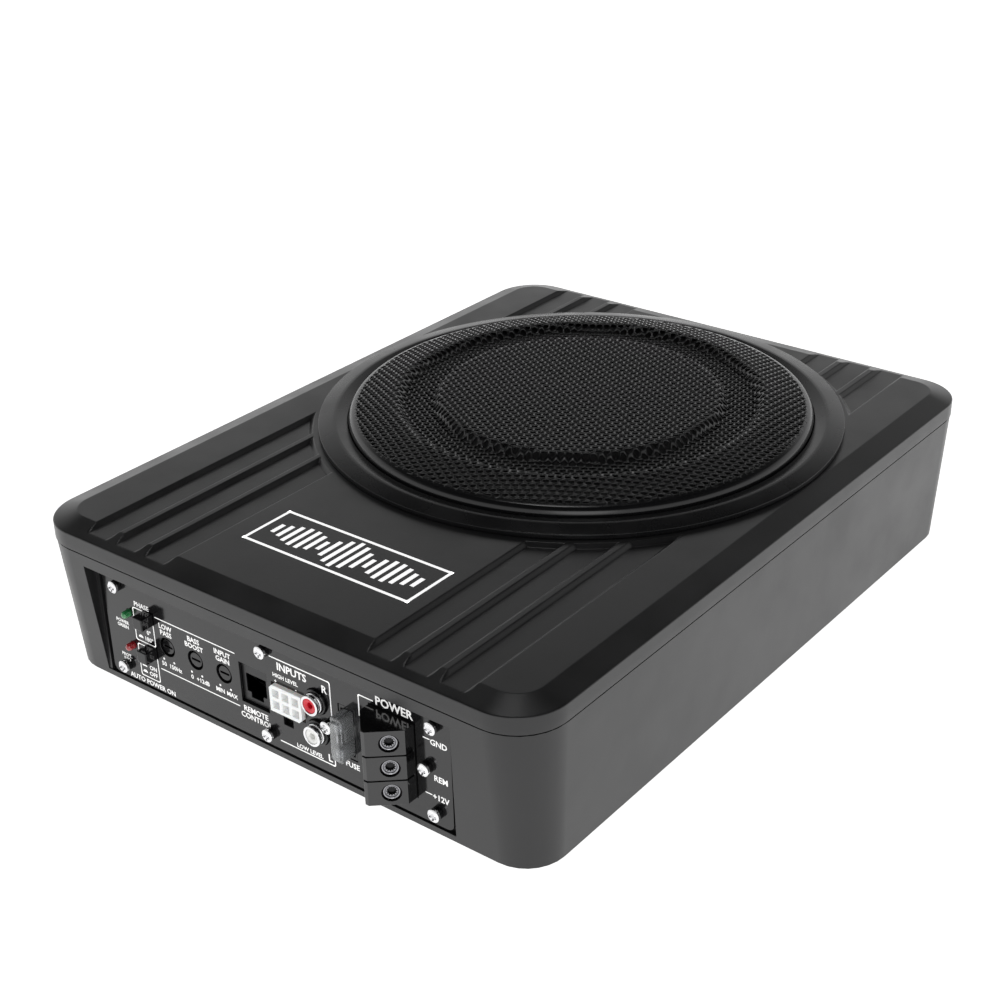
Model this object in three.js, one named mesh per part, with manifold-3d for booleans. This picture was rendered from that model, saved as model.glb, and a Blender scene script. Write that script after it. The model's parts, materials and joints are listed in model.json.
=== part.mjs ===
// Powered under-seat car subwoofer: a two-shell case with a control panel at one
// end and a shallow woofer under a domed grille. Millimetres, +Z up, the grille
// faces up and the control panel faces -Y. Each named mesh is one separate physical
// piece. Sizes below are measured from the middle of the case on the floor; the last
// step moves the whole assembly along Y, so that the origin lies on the floor under
// the middle of its overall box.
import * as THREE from 'three';
import { mergeVertices } from 'three/addons/utils/BufferGeometryUtils.js';
import Module from 'manifold-3d';

const wasm = await Module();
wasm.setup();

// ---------------------------------------------------------------- driving sizes
// case
const caseWidth = 250;
const caseLength = 327;
const caseHeight = 70.2;
const footHeight = 0.5;
const wall = 3;
const cornerRadius = 21;
const baseDraft = 6.2;
const sideDraft = 3.2;
const seamStep = 0.3;
const seamGap = 0.5;
const lidBand = 7.7;
const chamferWidth = 10;
const chamferDrop = 2.8;
const lidPlate = 4.6;
const bottomEdge = 1;

// grooves across the lid, in two groups
const grooveWidth = 13.7;
const groovePitch = 16.3;
const grooveDepth = 1.7;
const grooveSlope = 1.7;
const groovesPerGroup = 3;
const grooveGroupX = 73.2;

// trim ring and grille
const ringRadius = 114.4;
const ringInnerRadius = 101.5;
const ringStep = 2.1;
const ringCrest = 3.5;
const ringCrestRadius = 107.2;
const ringInnerHeight = 2.6;
const ringRearMargin = 1;
const padMargin = 2.4;
const grilleSheet = 1;
const grilleShoulder = 7;
const grilleCrest = 10.7;
const grilleCrestRadius = 80.8;
const grilleValley = 7.3;
const grilleDiscRadius = 61.5;
const grilleDisc = 11.5;

// control panel and its recess
const panelDepth = 6.2;
const panelSheet = 1.6;
const panelLeft = -93;
const panelRight = 85.7;
const panelBottom = 5.2;
const panelTop = 53.8;
const panelGap = 0.9;
const panelLeftGap = 1.9;
const recessLedge = 1.8;
const recessFlare = 6;
const ledge = 3;

// woofer
const flangeRadius = 99.6;
const flangeSheet = 1.5;
const flangeSink = 2.4;
const basketRadius = 88;
const coneRadius = 72;
const coneDepth = 20;
const coneSheet = 1.2;
const coilRadius = 25.6;
const coilSheet = 0.8;
const magnetRadius = 50;
const magnetHeight = 13;
const topPlateHeight = 5;
const backPlateHeight = 5;
const coilGap = 1.4;

// clearances
const fit = 0.3;
const slip = 0.2;
const seat = 0.1;

// ------------------------------------------------------------- derived positions
const caseBottom = footHeight;
const lidTop = caseBottom + caseHeight;
const chamferLow = lidTop - chamferDrop;
const seamZ = chamferLow - lidBand;
const lidUnder = lidTop - lidPlate;
const floorTop = caseBottom + wall;
const halfWidth = caseWidth / 2;
const halfLength = caseLength / 2;
const panelY = -halfLength + panelDepth;
const panelBack = panelY + panelSheet;
const backY = panelBack + fit;
const wooferY = halfLength - chamferWidth - ringRadius - ringRearMargin;
const panelMid = (panelLeft + panelRight) / 2;

// ------------------------------------------------------------------- materials
function finish(color, roughness, metalness = 0) {
  return new THREE.MeshStandardMaterial({ color, roughness, metalness });
}
const blackCase = finish(0x3a3a3c, 0.7);
const blackTrim = finish(0x232325, 0.45);
const panelPaint = finish(0x3c3c3e, 0.6);
const grilleSteel = finish(0x2a2a2c, 0.3, 0.8);
const brightSteel = finish(0xd8d8da, 0.25, 1);
const plainSteel = finish(0x8d8f92, 0.4, 1);
const glossBlack = finish(0x101012, 0.15);
const rubber = finish(0x1c1c1c, 0.9);
const conePaper = finish(0x1a1a1b, 0.85);
const greenLens = finish(0x35b24a, 0.15);
const redLens = finish(0xd22c33, 0.15);
const whitePlastic = finish(0xf2f2ee, 0.35);
const clearPlastic = finish(0xdfe4e6, 0.1);
const boardGreen = finish(0x1f5a33, 0.5);
const aluminium = finish(0xb4b6b8, 0.4, 0.9);
const ferrite = finish(0x39393b, 0.7);
const spiderCloth = finish(0xb58a3c, 0.9);
const capSleeve = finish(0x1d2f5c, 0.35);
const copper = finish(0xb4652f, 0.35, 0.8);

// ------------------------------------------------------------- solid operations
function signedVolume(points, faces) {
  let sum = 0;
  const a = new THREE.Vector3();
  const b = new THREE.Vector3();
  const c = new THREE.Vector3();
  for (let i = 0; i < faces.length; i += 3) {
    a.fromArray(points, 3 * faces[i]);
    b.fromArray(points, 3 * faces[i + 1]);
    c.fromArray(points, 3 * faces[i + 2]);
    sum += a.dot(b.cross(c));
  }
  return sum / 6;
}

// A closed three.js geometry becomes a manifold solid with its faces pointing out.
function solid(geometry) {
  const bare = geometry.clone();
  bare.deleteAttribute('normal');
  bare.deleteAttribute('uv');
  const merged = mergeVertices(bare, 1e-4);
  const points = new Float32Array(merged.attributes.position.array);
  const faces = [];
  const index = merged.index.array;
  for (let i = 0; i < index.length; i += 3) {
    const [a, b, c] = [index[i], index[i + 1], index[i + 2]];
    if (a !== b && b !== c && c !== a) {
      faces.push(a, b, c);
    }
  }
  if (signedVolume(points, faces) < 0) {
    faces.reverse();
  }
  const triVerts = new Uint32Array(faces);
  return new wasm.Manifold(new wasm.Mesh({ numProp: 3, vertProperties: points, triVerts }));
}

function geometryOf(shape) {
  const mesh = shape.getMesh();
  const geometry = new THREE.BufferGeometry();
  geometry.setAttribute('position', new THREE.BufferAttribute(new Float32Array(mesh.vertProperties), 3));
  geometry.setIndex(new THREE.BufferAttribute(new Uint32Array(mesh.triVerts), 1));
  geometry.computeVertexNormals();
  return geometry;
}

function cut(body, ...tools) {
  return tools.reduce((rest, tool) => rest.subtract(tool), body);
}

function join(body, ...others) {
  return others.reduce((whole, other) => whole.add(other), body);
}

function block(x0, x1, y0, y1, z0, z1) {
  const shape = new THREE.BoxGeometry(x1 - x0, y1 - y0, z1 - z0);
  return solid(shape.translate((x0 + x1) / 2, (y0 + y1) / 2, (z0 + z1) / 2));
}

// A block given by its middle in X and Z and its full sizes there.
function blockAt(x, z, width, height, y0, y1) {
  return block(x - width / 2, x + width / 2, y0, y1, z - height / 2, z + height / 2);
}

function cylinderZ(radius, z0, z1, x = 0, y = 0, sides = 24, topRadius = radius) {
  const shape = new THREE.CylinderGeometry(topRadius, radius, z1 - z0, sides);
  return solid(shape.rotateX(Math.PI / 2).translate(x, y, (z0 + z1) / 2));
}


// A plan outline in X and Y, carried up from z0 to z1.
function prismZ(outline, z0, z1) {
  const shape = new THREE.Shape(outline.map(([x, y]) => new THREE.Vector2(x, y)));
  const geometry = new THREE.ExtrudeGeometry(shape, { depth: z1 - z0, bevelEnabled: false });
  return solid(geometry.translate(0, 0, z0));
}

// A profile in X and Z, carried along Y from y0 to y1.
function prismY(profile, y0, y1) {
  const shape = new THREE.Shape(profile.map(([x, z]) => new THREE.Vector2(x, z)));
  const geometry = new THREE.ExtrudeGeometry(shape, { depth: y1 - y0, bevelEnabled: false });
  return solid(geometry.rotateX(Math.PI / 2).translate(0, y1, 0));
}

// A closed profile of [radius, height] points turned about three.js's own Y axis.
function revolve(profile, sides) {
  const points = profile.map(([radius, height]) => new THREE.Vector2(radius, height));
  points.push(points[0].clone());
  return new THREE.LatheGeometry(points, sides);
}

// Turned about the vertical line at x, y: the profile is [radius, z].
function turned(profile, x, y, sides = 64) {
  return solid(revolve(profile, sides).rotateX(Math.PI / 2).translate(x, y, 0));
}

// Turned about the level line at x, z that runs along Y: the profile is [radius, y].
function turnedY(profile, x, z, sides = 16) {
  return solid(revolve(profile, sides).translate(x, 0, z));
}

function cylinderY(radius, y0, y1, x, z, sides = 16) {
  return turnedY([[0, y0], [radius, y0], [radius, y1], [0, y1]], x, z, sides);
}

// The outline of a rectangle with round corners, as points in X and Y.
function roundedOutline(width, length, radius, steps = 7) {
  const outline = [];
  const corners = [[1, -1, -90], [1, 1, 0], [-1, 1, 90], [-1, -1, 180]];
  for (const [sx, sy, start] of corners) {
    for (let k = 0; k <= steps; k += 1) {
      const turn = THREE.MathUtils.degToRad(start + (90 * k) / steps);
      const x = sx * (width / 2 - radius) + radius * Math.cos(turn);
      const y = sy * (length / 2 - radius) + radius * Math.sin(turn);
      outline.push([x, y]);
    }
  }
  return outline;
}

// A solid through a stack of outlines with equal point counts: [outline, z] pairs.
function lofted(levels) {
  const count = levels[0][0].length;
  const positions = [];
  const index = [];
  for (const [outline, z] of levels) {
    outline.forEach(([x, y]) => positions.push(x, y, z));
  }
  for (let level = 0; level + 1 < levels.length; level += 1) {
    for (let i = 0; i < count; i += 1) {
      const a = level * count + i;
      const b = level * count + ((i + 1) % count);
      index.push(a, b, b + count, a, b + count, a + count);
    }
  }
  const last = (levels.length - 1) * count;
  for (let i = 1; i + 1 < count; i += 1) {
    index.push(0, i + 1, i);
    index.push(last, last + i, last + i + 1);
  }
  const geometry = new THREE.BufferGeometry();
  geometry.setAttribute('position', new THREE.Float32BufferAttribute(positions, 3));
  geometry.setIndex(index);
  return solid(geometry);
}

// One level of the case: the outline stands inset mm inside the full case.
function caseLevel(inset, radius, z, sideInset = inset) {
  return [roundedOutline(caseWidth - 2 * sideInset, caseLength - 2 * inset, radius), z];
}

const model = new THREE.Group();

function add(name, shape, material) {
  const mesh = new THREE.Mesh(geometryOf(shape), material);
  mesh.name = name;
  model.add(mesh);
}

// ------------------------------------------------------- layout of the fasteners
const postX = 100;
const postY = 138;
const postRadius = 7;
const postCorners = [[-1, -1], [1, -1], [1, 1], [-1, 1]];
const screwHole = 1.9;
const screwShank = 1.5;
const headPocketRadius = 4.4;
const headRadius = 3.8;
const headTop = caseBottom + 4;
const footX = 92;
const footY = 116;
const footRadius = 9;
const footSink = 1;

// ------------------------------------------------------------------- base shell
// Wall inset at a height: the base leans in from the seam to its bottom.
function draftInset(z, draft = baseDraft) {
  return seamStep + ((draft - seamStep) * (seamZ - z)) / (seamZ - caseBottom);
}

const recessLeft = panelLeft - panelLeftGap;
const ledgeLeft = recessLeft - recessLedge;
const recessRight = panelRight + panelGap;
const recessTop = panelTop + panelGap;
const recessBottom = panelBottom - panelGap;
const pocketFront = backY + ledge;
const screwRows = [10.9, 48];
const screwColumns = [-84.3, -3.3, 78.5];
const windowBottom = screwRows[0] + 3.4;
const windowTop = screwRows[1] - 3.6;
const windowLeft = -87;
const windowRight = 82;

// Terminal block sizes, which the panel and the window follow.
const terminalLeft = 48.3;
const terminalRight = 69.4;
const terminalBottom = 13.5;
const terminalPitch = 10.5;
const terminalWays = 3;
const terminalTop = terminalBottom + terminalWays * terminalPitch;

function makeBase() {
  const innerRadius = cornerRadius - wall;
  const bottomRadius = cornerRadius - 4.5;
  const edgeZ = caseBottom + bottomEdge;
  const outer = lofted([
    caseLevel(baseDraft + bottomEdge, bottomRadius - 1, caseBottom, sideDraft + bottomEdge),
    caseLevel(draftInset(edgeZ), bottomRadius, edgeZ, draftInset(edgeZ, sideDraft)),
    caseLevel(seamStep, cornerRadius - seamStep, seamZ),
  ]);
  const hollow = lofted([
    caseLevel(draftInset(floorTop) + wall, bottomRadius - wall, floorTop, draftInset(floorTop, sideDraft) + wall),
    caseLevel(seamStep + wall, innerRadius - seamStep, seamZ + 1),
  ]);
  const pocket = block(ledgeLeft - wall, recessRight + wall, -halfLength, pocketFront, 0, seamZ);
  let shell = cut(outer, cut(hollow, pocket));
  const recess = prismZ([
    [recessLeft, backY],
    [recessLeft, panelY],
    [ledgeLeft, panelY],
    [ledgeLeft, -halfLength - 3],
    [recessRight + recessFlare, -halfLength - 3],
    [recessRight, panelY],
    [recessRight, backY],
  ], recessBottom, recessTop);
  const window = block(windowLeft, windowRight, panelY, pocketFront + 1, windowBottom, windowTop);
  const terminalWindow = block(terminalLeft - 2, terminalRight + 2, panelY, pocketFront + 1,
    terminalBottom - 1, terminalTop + 1);
  shell = cut(shell, recess, window, terminalWindow);
  for (const z of screwRows) {
    for (const x of screwColumns) {
      shell = cut(shell, cylinderY(screwHole, panelY, pocketFront + 1, x, z, 10));
    }
  }
  for (const [sx, sy] of postCorners) {
    const x = sx * postX;
    const y = sy * postY;
    shell = join(shell, cylinderZ(postRadius, caseBottom + 1, seamZ, x, y, 16));
    shell = cut(
      shell,
      cylinderZ(headPocketRadius, 0, headTop + fit, x, y, 16),
      cylinderZ(screwHole, 0, seamZ + 1, x, y, 10),
      cylinderZ(footRadius + fit, 0, caseBottom + footSink, sx * footX, sy * footY, 24),
    );
  }
  for (const [sx, sy] of boardPosts) {
    shell = join(shell, cylinderZ(boardPostRadius, floorTop - 1, boardBottom - seat, sx, sy, 12));
  }
  return shell;
}

// ---------------------------------------------------------------- amplifier board
const boardBottom = 9.6;
const boardSheet = 1.6;
const boardBack = -78;
const boardPostRadius = 3.5;
const boardSide = 6;
const boardPosts = [
  [windowLeft + boardSide, boardBack - boardSide],
  [windowRight - boardSide, boardBack - boardSide],
  [windowLeft + boardSide, pocketFront + 8],
  [windowRight - boardSide, pocketFront + 8],
];
const boardTop = boardBottom + boardSheet;

// ---------------------------------------------------------------------- lid shell
function makeLid() {
  const lidLow = seamZ + seamGap;
  const outer = lofted([
    caseLevel(0, cornerRadius, lidLow),
    caseLevel(0, cornerRadius, chamferLow),
    caseLevel(chamferWidth, cornerRadius - chamferWidth, lidTop),
  ]);
  const hollow = lofted([
    caseLevel(wall + seamStep, cornerRadius - wall - seamStep, lidLow - 1),
    caseLevel(wall + seamStep, cornerRadius - wall - seamStep, lidUnder),
  ]);
  let shell = cut(outer, hollow);
  const above = 1;
  const spread = (grooveSlope * above) / grooveDepth;
  const top = grooveWidth / 2 + spread;
  const bottom = grooveWidth / 2 - grooveSlope;
  const pad = cylinderZ(ringRadius + padMargin + grooveSlope, lidTop - grooveDepth - 1, lidTop, 0, wooferY, 64,
    ringRadius + padMargin);
  for (const side of [-1, 1]) {
    for (let k = 0; k < groovesPerGroup; k += 1) {
      const x = side * grooveGroupX + (k - (groovesPerGroup - 1) / 2) * groovePitch;
      const groove = prismY([
        [x - bottom, lidTop - grooveDepth],
        [x + bottom, lidTop - grooveDepth],
        [x + top, lidTop + above],
        [x - top, lidTop + above],
      ], -halfLength - 1, halfLength + 1);
      shell = cut(shell, cut(groove, pad));
    }
  }
  for (const [sx, sy] of postCorners) {
    const post = cylinderZ(postRadius, lidLow, lidUnder + 1, sx * postX, sy * postY, 16);
    shell = cut(join(shell, post), cylinderZ(screwHole, lidLow - 1, lidUnder + 1, sx * postX, sy * postY, 10));
  }
  const seatZ = lidTop - flangeSink;
  const collar = cylinderZ(flangeRadius + wall + 1, lidUnder - 2, lidUnder + 1, 0, wooferY, 48);
  shell = join(shell, collar);
  return cut(
    shell,
    cylinderZ(flangeRadius + fit, seatZ, lidTop + 1, 0, wooferY, 56),
    cylinderZ(basketRadius + 2, lidUnder - 3, lidTop + 1, 0, wooferY, 48),
  );
}

// ------------------------------------------------------------ trim ring and grille
function makeRing() {
  const low = lidTop + seat;
  return turned([
    [ringInnerRadius, low],
    [ringRadius, low],
    [ringRadius, lidTop + ringStep - 0.3],
    [ringRadius - 0.4, lidTop + ringStep],
    [ringCrestRadius, lidTop + ringCrest],
    [ringCrestRadius - 1.4, lidTop + ringCrest],
    [ringInnerRadius, lidTop + ringInnerHeight],
  ], 0, wooferY, 64);
}

// Heights of the grille's outer face over the lid top, from the rim to the middle.
function grilleSection() {
  const rim = ringInnerRadius - fit - 0.1;
  return [
    [rim, seat],
    [rim, grilleShoulder - 2.4],
    [rim - 0.9, grilleShoulder - 0.9],
    [rim - 3, grilleShoulder],
    [grilleCrestRadius + 2, grilleCrest - 0.3],
    [grilleCrestRadius, grilleCrest],
    [grilleCrestRadius - 2.2, grilleCrest - 0.8],
    [grilleCrestRadius - 4.4, grilleValley],
    [grilleDiscRadius + 2.6, grilleValley + 0.3],
    [grilleDiscRadius + 1.2, grilleDisc - 1],
    [grilleDiscRadius - 0.6, grilleDisc - 0.4],
    [0, grilleDisc],
  ];
}

function makeGrille() {
  const section = grilleSection();
  const outside = section.map(([radius, height]) => [radius, lidTop + height]);
  const inside = section.map(([radius, height], k) => {
    const inner = Math.max(radius - (k < 4 ? grilleSheet : 0), 0);
    const drop = k === 0 ? 0 : grilleSheet;
    return [inner, lidTop + height - drop];
  });
  return turned([...outside, ...inside.reverse()], 0, wooferY, 56);
}

// ------------------------------------------------------------------------- woofer
const flangeZ = lidTop - flangeSink + seat;
const flangeTop = flangeZ + flangeSheet;
const backPlateZ = floorTop + 1.3;
const magnetZ = backPlateZ + backPlateHeight;
const topPlateZ = magnetZ + magnetHeight;
const topPlateTop = topPlateZ + topPlateHeight;
const spiderZ = topPlateTop + 7;
const spiderRadius = 52;
const gapRadius = coilRadius + coilGap;
const poleRadius = coilRadius - coilSheet - coilGap;
const rollRadius = (basketRadius - coneRadius) / 2;
const rollHeight = 4;
const coneTop = flangeTop + 0.4;
const coneNeck = coneTop - coneDepth;
const coneLip = 4;
const coneStart = coilRadius + fit;
const coneSlope = coneDepth / (coneRadius - coneLip - coneStart);

function makeBasket() {
  const t = flangeSheet;
  let frame = turned([
    [gapRadius + 0.5, topPlateTop + seat],
    [spiderRadius + 1, topPlateTop + seat],
    [spiderRadius + 3.5, spiderZ - t],
    [basketRadius, flangeZ - 2],
    [basketRadius, flangeZ],
    [flangeRadius, flangeZ],
    [flangeRadius, flangeTop],
    [basketRadius - t, flangeTop],
    [basketRadius - t, flangeZ - 1.6],
    [spiderRadius + 2.6, spiderZ],
    [spiderRadius - 3, spiderZ],
    [spiderRadius - 3, spiderZ - t],
    [spiderRadius + 1, spiderZ - t],
    [spiderRadius - 0.6, topPlateTop + seat + t],
    [gapRadius + 0.5, topPlateTop + seat + t],
  ], 0, wooferY, 40);
  const spokes = 6;
  for (let k = 0; k < spokes; k += 1) {
    const opening = new THREE.BoxGeometry(40, 46, flangeZ - spiderZ - 12);
    opening.translate(basketRadius - 16, 0, (flangeZ + spiderZ) / 2 - 1);
    opening.rotateZ(((k + 0.5) * 2 * Math.PI) / spokes);
    frame = cut(frame, solid(opening.translate(0, wooferY, 0)));
  }
  return frame;
}

function makeCone() {
  return turned([
    [coneStart, coneNeck],
    [coneRadius - coneLip, coneTop],
    [coneRadius - fit, coneTop],
    [coneRadius - fit, coneTop + coneSheet],
    [coneRadius - coneLip, coneTop + coneSheet],
    [coneStart, coneNeck + coneSheet],
  ], 0, wooferY, 48);
}

// A half-roll of rubber between the basket flange and the cone's edge.
function makeSurround() {
  const middle = (basketRadius + coneRadius) / 2;
  const sheet = 1;
  const steps = 6;
  const base = coneTop;
  const outer = [];
  const inner = [];
  for (let k = 0; k <= steps; k += 1) {
    const turn = (Math.PI * k) / steps;
    const cosine = Math.cos(turn);
    const sine = Math.sin(turn);
    outer.push([middle + rollRadius * cosine, base + sheet + rollHeight * sine]);
    inner.push([middle + (rollRadius - sheet) * cosine, base + rollHeight * sine]);
  }
  const flange = flangeRadius - 2;
  return turned([
    [flange, base],
    [flange, base + sheet],
    ...outer,
    ...inner.reverse(),
  ], 0, wooferY, 40);
}

function makeDustCap() {
  const radius = coilRadius + 8;
  const low = coneNeck + coneSheet + (radius - coneStart) * coneSlope + slip;
  const rise = 7;
  const sheet = 0.8;
  const steps = 4;
  const over = [];
  const under = [];
  for (let k = 0; k <= steps; k += 1) {
    const turn = (Math.PI / 2) * (k / steps);
    over.push([radius * Math.cos(turn), low + rise * Math.sin(turn)]);
    under.push([(radius - sheet) * Math.cos(turn), low + (rise - sheet) * Math.sin(turn)]);
  }
  return turned([...over, ...under.reverse()], 0, wooferY, 32);
}

function makeCoil() {
  return turned([
    [coilRadius - coilSheet, topPlateZ - 2],
    [coilRadius, topPlateZ - 2],
    [coilRadius, coneNeck + 1],
    [coilRadius - coilSheet, coneNeck + 1],
  ], 0, wooferY, 32);
}

// A corrugated cloth disc that centres the coil.
function makeSpider() {
  const inner = coilRadius + fit;
  const outer = spiderRadius + 1;
  const waves = 4;
  const steps = waves * 2;
  const sheet = 0.8;
  const height = 2.2;
  const upper = [];
  const lower = [];
  for (let k = 0; k <= steps; k += 1) {
    const radius = inner + ((outer - inner) * k) / steps;
    const swing = k > 0 && k < steps ? height * (k % 2 === 0 ? 1 : -1) : 0;
    upper.push([radius, spiderZ + seat + height + swing + sheet]);
    lower.push([radius, spiderZ + seat + height + swing]);
  }
  lower[steps][1] = spiderZ + seat;
  return turned([...lower, ...upper.reverse()], 0, wooferY, 32);
}

function makeTopPlate() {
  return turned([
    [gapRadius, topPlateZ],
    [magnetRadius - 4, topPlateZ],
    [magnetRadius - 4, topPlateTop],
    [gapRadius, topPlateTop],
  ], 0, wooferY, 32);
}

function makeMagnet() {
  const inner = gapRadius + 4;
  return turned([
    [inner, magnetZ + seat],
    [magnetRadius, magnetZ + seat],
    [magnetRadius, topPlateZ - seat],
    [inner, topPlateZ - seat],
  ], 0, wooferY, 32);
}

function makeBackPlate() {
  return turned([
    [0, backPlateZ],
    [magnetRadius - 4, backPlateZ],
    [magnetRadius - 4, magnetZ],
    [poleRadius, magnetZ],
    [poleRadius, topPlateTop],
    [0, topPlateTop],
  ], 0, wooferY, 32);
}

// -------------------------------------------------------------- small fasteners
const sleeveRadius = 2.5;
const sleeveLength = 1.7;
const panHeadRadius = 2.6;
const panHeadHeight = 1.5;
const shankReach = 5;
const crossSlot = { length: 3.2, width: 0.9, depth: 0.9 };

// A black sleeve under a pan head, with a shank that reaches in behind the panel.
function makePanelScrew(x, z) {
  const face = panelY - seat;
  const under = face - sleeveLength;
  const top = under - panHeadHeight;
  const body = turnedY([
    [0, top],
    [panHeadRadius - 0.8, top],
    [panHeadRadius, top + 0.8],
    [panHeadRadius, under],
    [sleeveRadius, under],
    [sleeveRadius, face],
    [screwShank, face],
    [screwShank, face + shankReach],
    [0, face + shankReach],
  ], x, z, 14);
  const end = top + crossSlot.depth;
  const across = blockAt(x, z, crossSlot.length, crossSlot.width, top - 1, end);
  const upright = blockAt(x, z, crossSlot.width, crossSlot.length, top - 1, end);
  return cut(body, join(across, upright));
}

function makeCaseScrew(x, y) {
  const end = lidUnder - 2 * fit;
  return turned([
    [0, headTop - 2.4],
    [headRadius, headTop - 2.4],
    [headRadius, headTop],
    [screwShank, headTop],
    [screwShank, end],
    [0, end],
  ], x, y, 14);
}

// -------------------------------------------------------------- panel components
const remX = 74.6;
const remZ = 29.1;
const lampX = -79.3;
const lampRows = { phase_lamp_green: 36.9, power_lamp_red: 21.9 };
const lampRadius = 1.6;
const buttonX = -67.7;
const buttonRows = { phase_button: 38.5, auto_on_button: 23 };
const buttonSize = 5.4;
const buttonReach = 6;
const buttonTravel = 2.5;
const knobRows = { low_pass_shaft: -58.4, bass_boost_shaft: -42.6, input_gain_shaft: -26.8 };
const knobZ = 28.4;
const knobHole = 4.2;
const knobRadius = 3.2;
const remote = { x: -10.65, z: 28.55, width: 14.7, height: 17.7, recess: 1.3 };
const remotePlug = { width: 10.4, height: 8, latchWidth: 6.4, latchHeight: 2.4, depth: 12 };
const highLevel = { x: 7.25, z: 29.1, width: 16.3, height: 11.9, reach: 1.6, bevel: 1.6 };
const latchSlot = { x: 6.4, z: 19.9, width: 5, height: 4.3 };
const rcaX = 22.1;
const rcaRows = { rca_jack_right: 35.4, rca_jack_left: 21.9 };
const rcaCollar = 5.3;
const rcaCollarReach = 1.2;
const rcaRadius = 4.15;
const rcaBore = 1.7;
const rcaReach = 4.3;
const rcaMargin = 6.6;
const rcaScrew = [28.3, 27.6];
const fuseX = 36.9;
const fuseZ = 27.6;
const fuseBody = { width: 5.1, height: 19.1, reach: 7.1, depth: 5.3 };
const fuseWindow = { width: 8.2, height: 22.9 };
const blade = { width: 0.8, height: 5.2, offset: 5.6, length: 7 };
const controlBody = { width: 9.4, height: 12, depth: 7 };
const bodyDepth = 13;
const switchSize = 8.4;

function makePanel() {
  const r = 3;
  const width = panelRight - panelLeft;
  const height = panelTop - panelBottom;
  const middle = (panelTop + panelBottom) / 2;
  const outline = roundedOutline(width, height, r, 4).map(([x, z]) => [x + panelMid, z + middle]);
  let plate = prismY(outline, panelY, panelBack);
  const y0 = panelY - 1;
  const y1 = panelBack + 1;
  const holes = [];
  for (const z of screwRows) {
    for (const x of screwColumns) {
      holes.push(cylinderY(screwHole, y0, y1, x, z, 10));
    }
  }
  holes.push(cylinderY(screwHole, y0, y1, remX, remZ, 12));
  holes.push(cylinderY(screwHole, y0, y1, rcaScrew[0], rcaScrew[1], 12));
  for (const z of Object.values(lampRows)) {
    holes.push(cylinderY(lampRadius + slip, y0, y1, lampX, z, 16));
  }
  for (const z of Object.values(buttonRows)) {
    holes.push(blockAt(buttonX, z, buttonSize + 2 * fit, buttonSize + 2 * fit, y0, y1));
  }
  for (const x of Object.values(knobRows)) {
    holes.push(cylinderY(knobHole, y0, y1, x, knobZ, 24));
  }
  for (const z of Object.values(rcaRows)) {
    holes.push(cylinderY(rcaCollar + slip, y0, y1, rcaX, z, 24));
  }
  holes.push(blockAt(remote.x, remote.z, remote.width, remote.height, y0, y1));
  holes.push(blockAt(highLevel.x, highLevel.z, highLevel.width + 2 * slip, highLevel.height + 2 * slip, y0, y1));
  holes.push(blockAt(latchSlot.x, latchSlot.z, latchSlot.width, latchSlot.height, y0, y1));
  holes.push(blockAt(fuseX, fuseZ, fuseWindow.width, fuseWindow.height, y0, y1));
  holes.push(block(terminalLeft - fit, terminalRight + fit, y0, y1, terminalBottom - fit, terminalTop + fit));
  return cut(plate, ...holes);
}

function makeLamp(z) {
  const tip = panelY - 2;
  const steps = 3;
  const dome = [];
  for (let k = 0; k <= steps; k += 1) {
    const turn = (Math.PI / 2) * (k / steps);
    dome.push([lampRadius * Math.sin(turn), tip - lampRadius * Math.cos(turn)]);
  }
  return turnedY([
    ...dome,
    [lampRadius, backY],
    [lampRadius + 0.4, backY],
    [lampRadius + 0.4, backY + 1],
    [0, backY + 1],
  ], lampX, z, 16);
}

function makeButton(z) {
  const back = backY + bodyDepth - buttonTravel - 2.4;
  return blockAt(buttonX, z, buttonSize, buttonSize, panelY - buttonReach, back);
}

function makeSwitch(z) {
  const body = blockAt(buttonX, z, switchSize, switchSize, backY, backY + bodyDepth);
  const bore = blockAt(buttonX, z, buttonSize + 2 * fit, buttonSize + 2 * fit, backY - 1, backY + bodyDepth - 2);
  return cut(body, bore);
}

function makeKnobShaft(x) {
  const front = panelY + 0.4;
  const shaft = cylinderY(knobRadius, front, backY + 4, x, knobZ, 20);
  const slot = blockAt(x, knobZ, knobRadius * 1.5, 0.9, front - 1, front + 1);
  return cut(shaft, slot);
}

function makeKnobBody(x) {
  const body = blockAt(x, knobZ, controlBody.width, controlBody.height, backY, backY + controlBody.depth);
  return cut(body, cylinderY(knobRadius + slip, backY - 1, backY + 4 + fit, x, knobZ, 20));
}

function makeRemoteSocket() {
  const face = panelY + remote.recess;
  const body = blockAt(remote.x, remote.z, remote.width - 2 * slip, remote.height - 2 * slip, face, backY + bodyDepth);
  const mouth = blockAt(remote.x, remote.z, remotePlug.width, remotePlug.height, face - 1, face + remotePlug.depth);
  const latchZ = remote.z - remotePlug.height / 2 - remotePlug.latchHeight / 2 + 0.1;
  const latch = blockAt(remote.x, latchZ, remotePlug.latchWidth, remotePlug.latchHeight + 0.2, face - 1,
    face + remotePlug.depth);
  return cut(body, mouth, latch);
}

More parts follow.
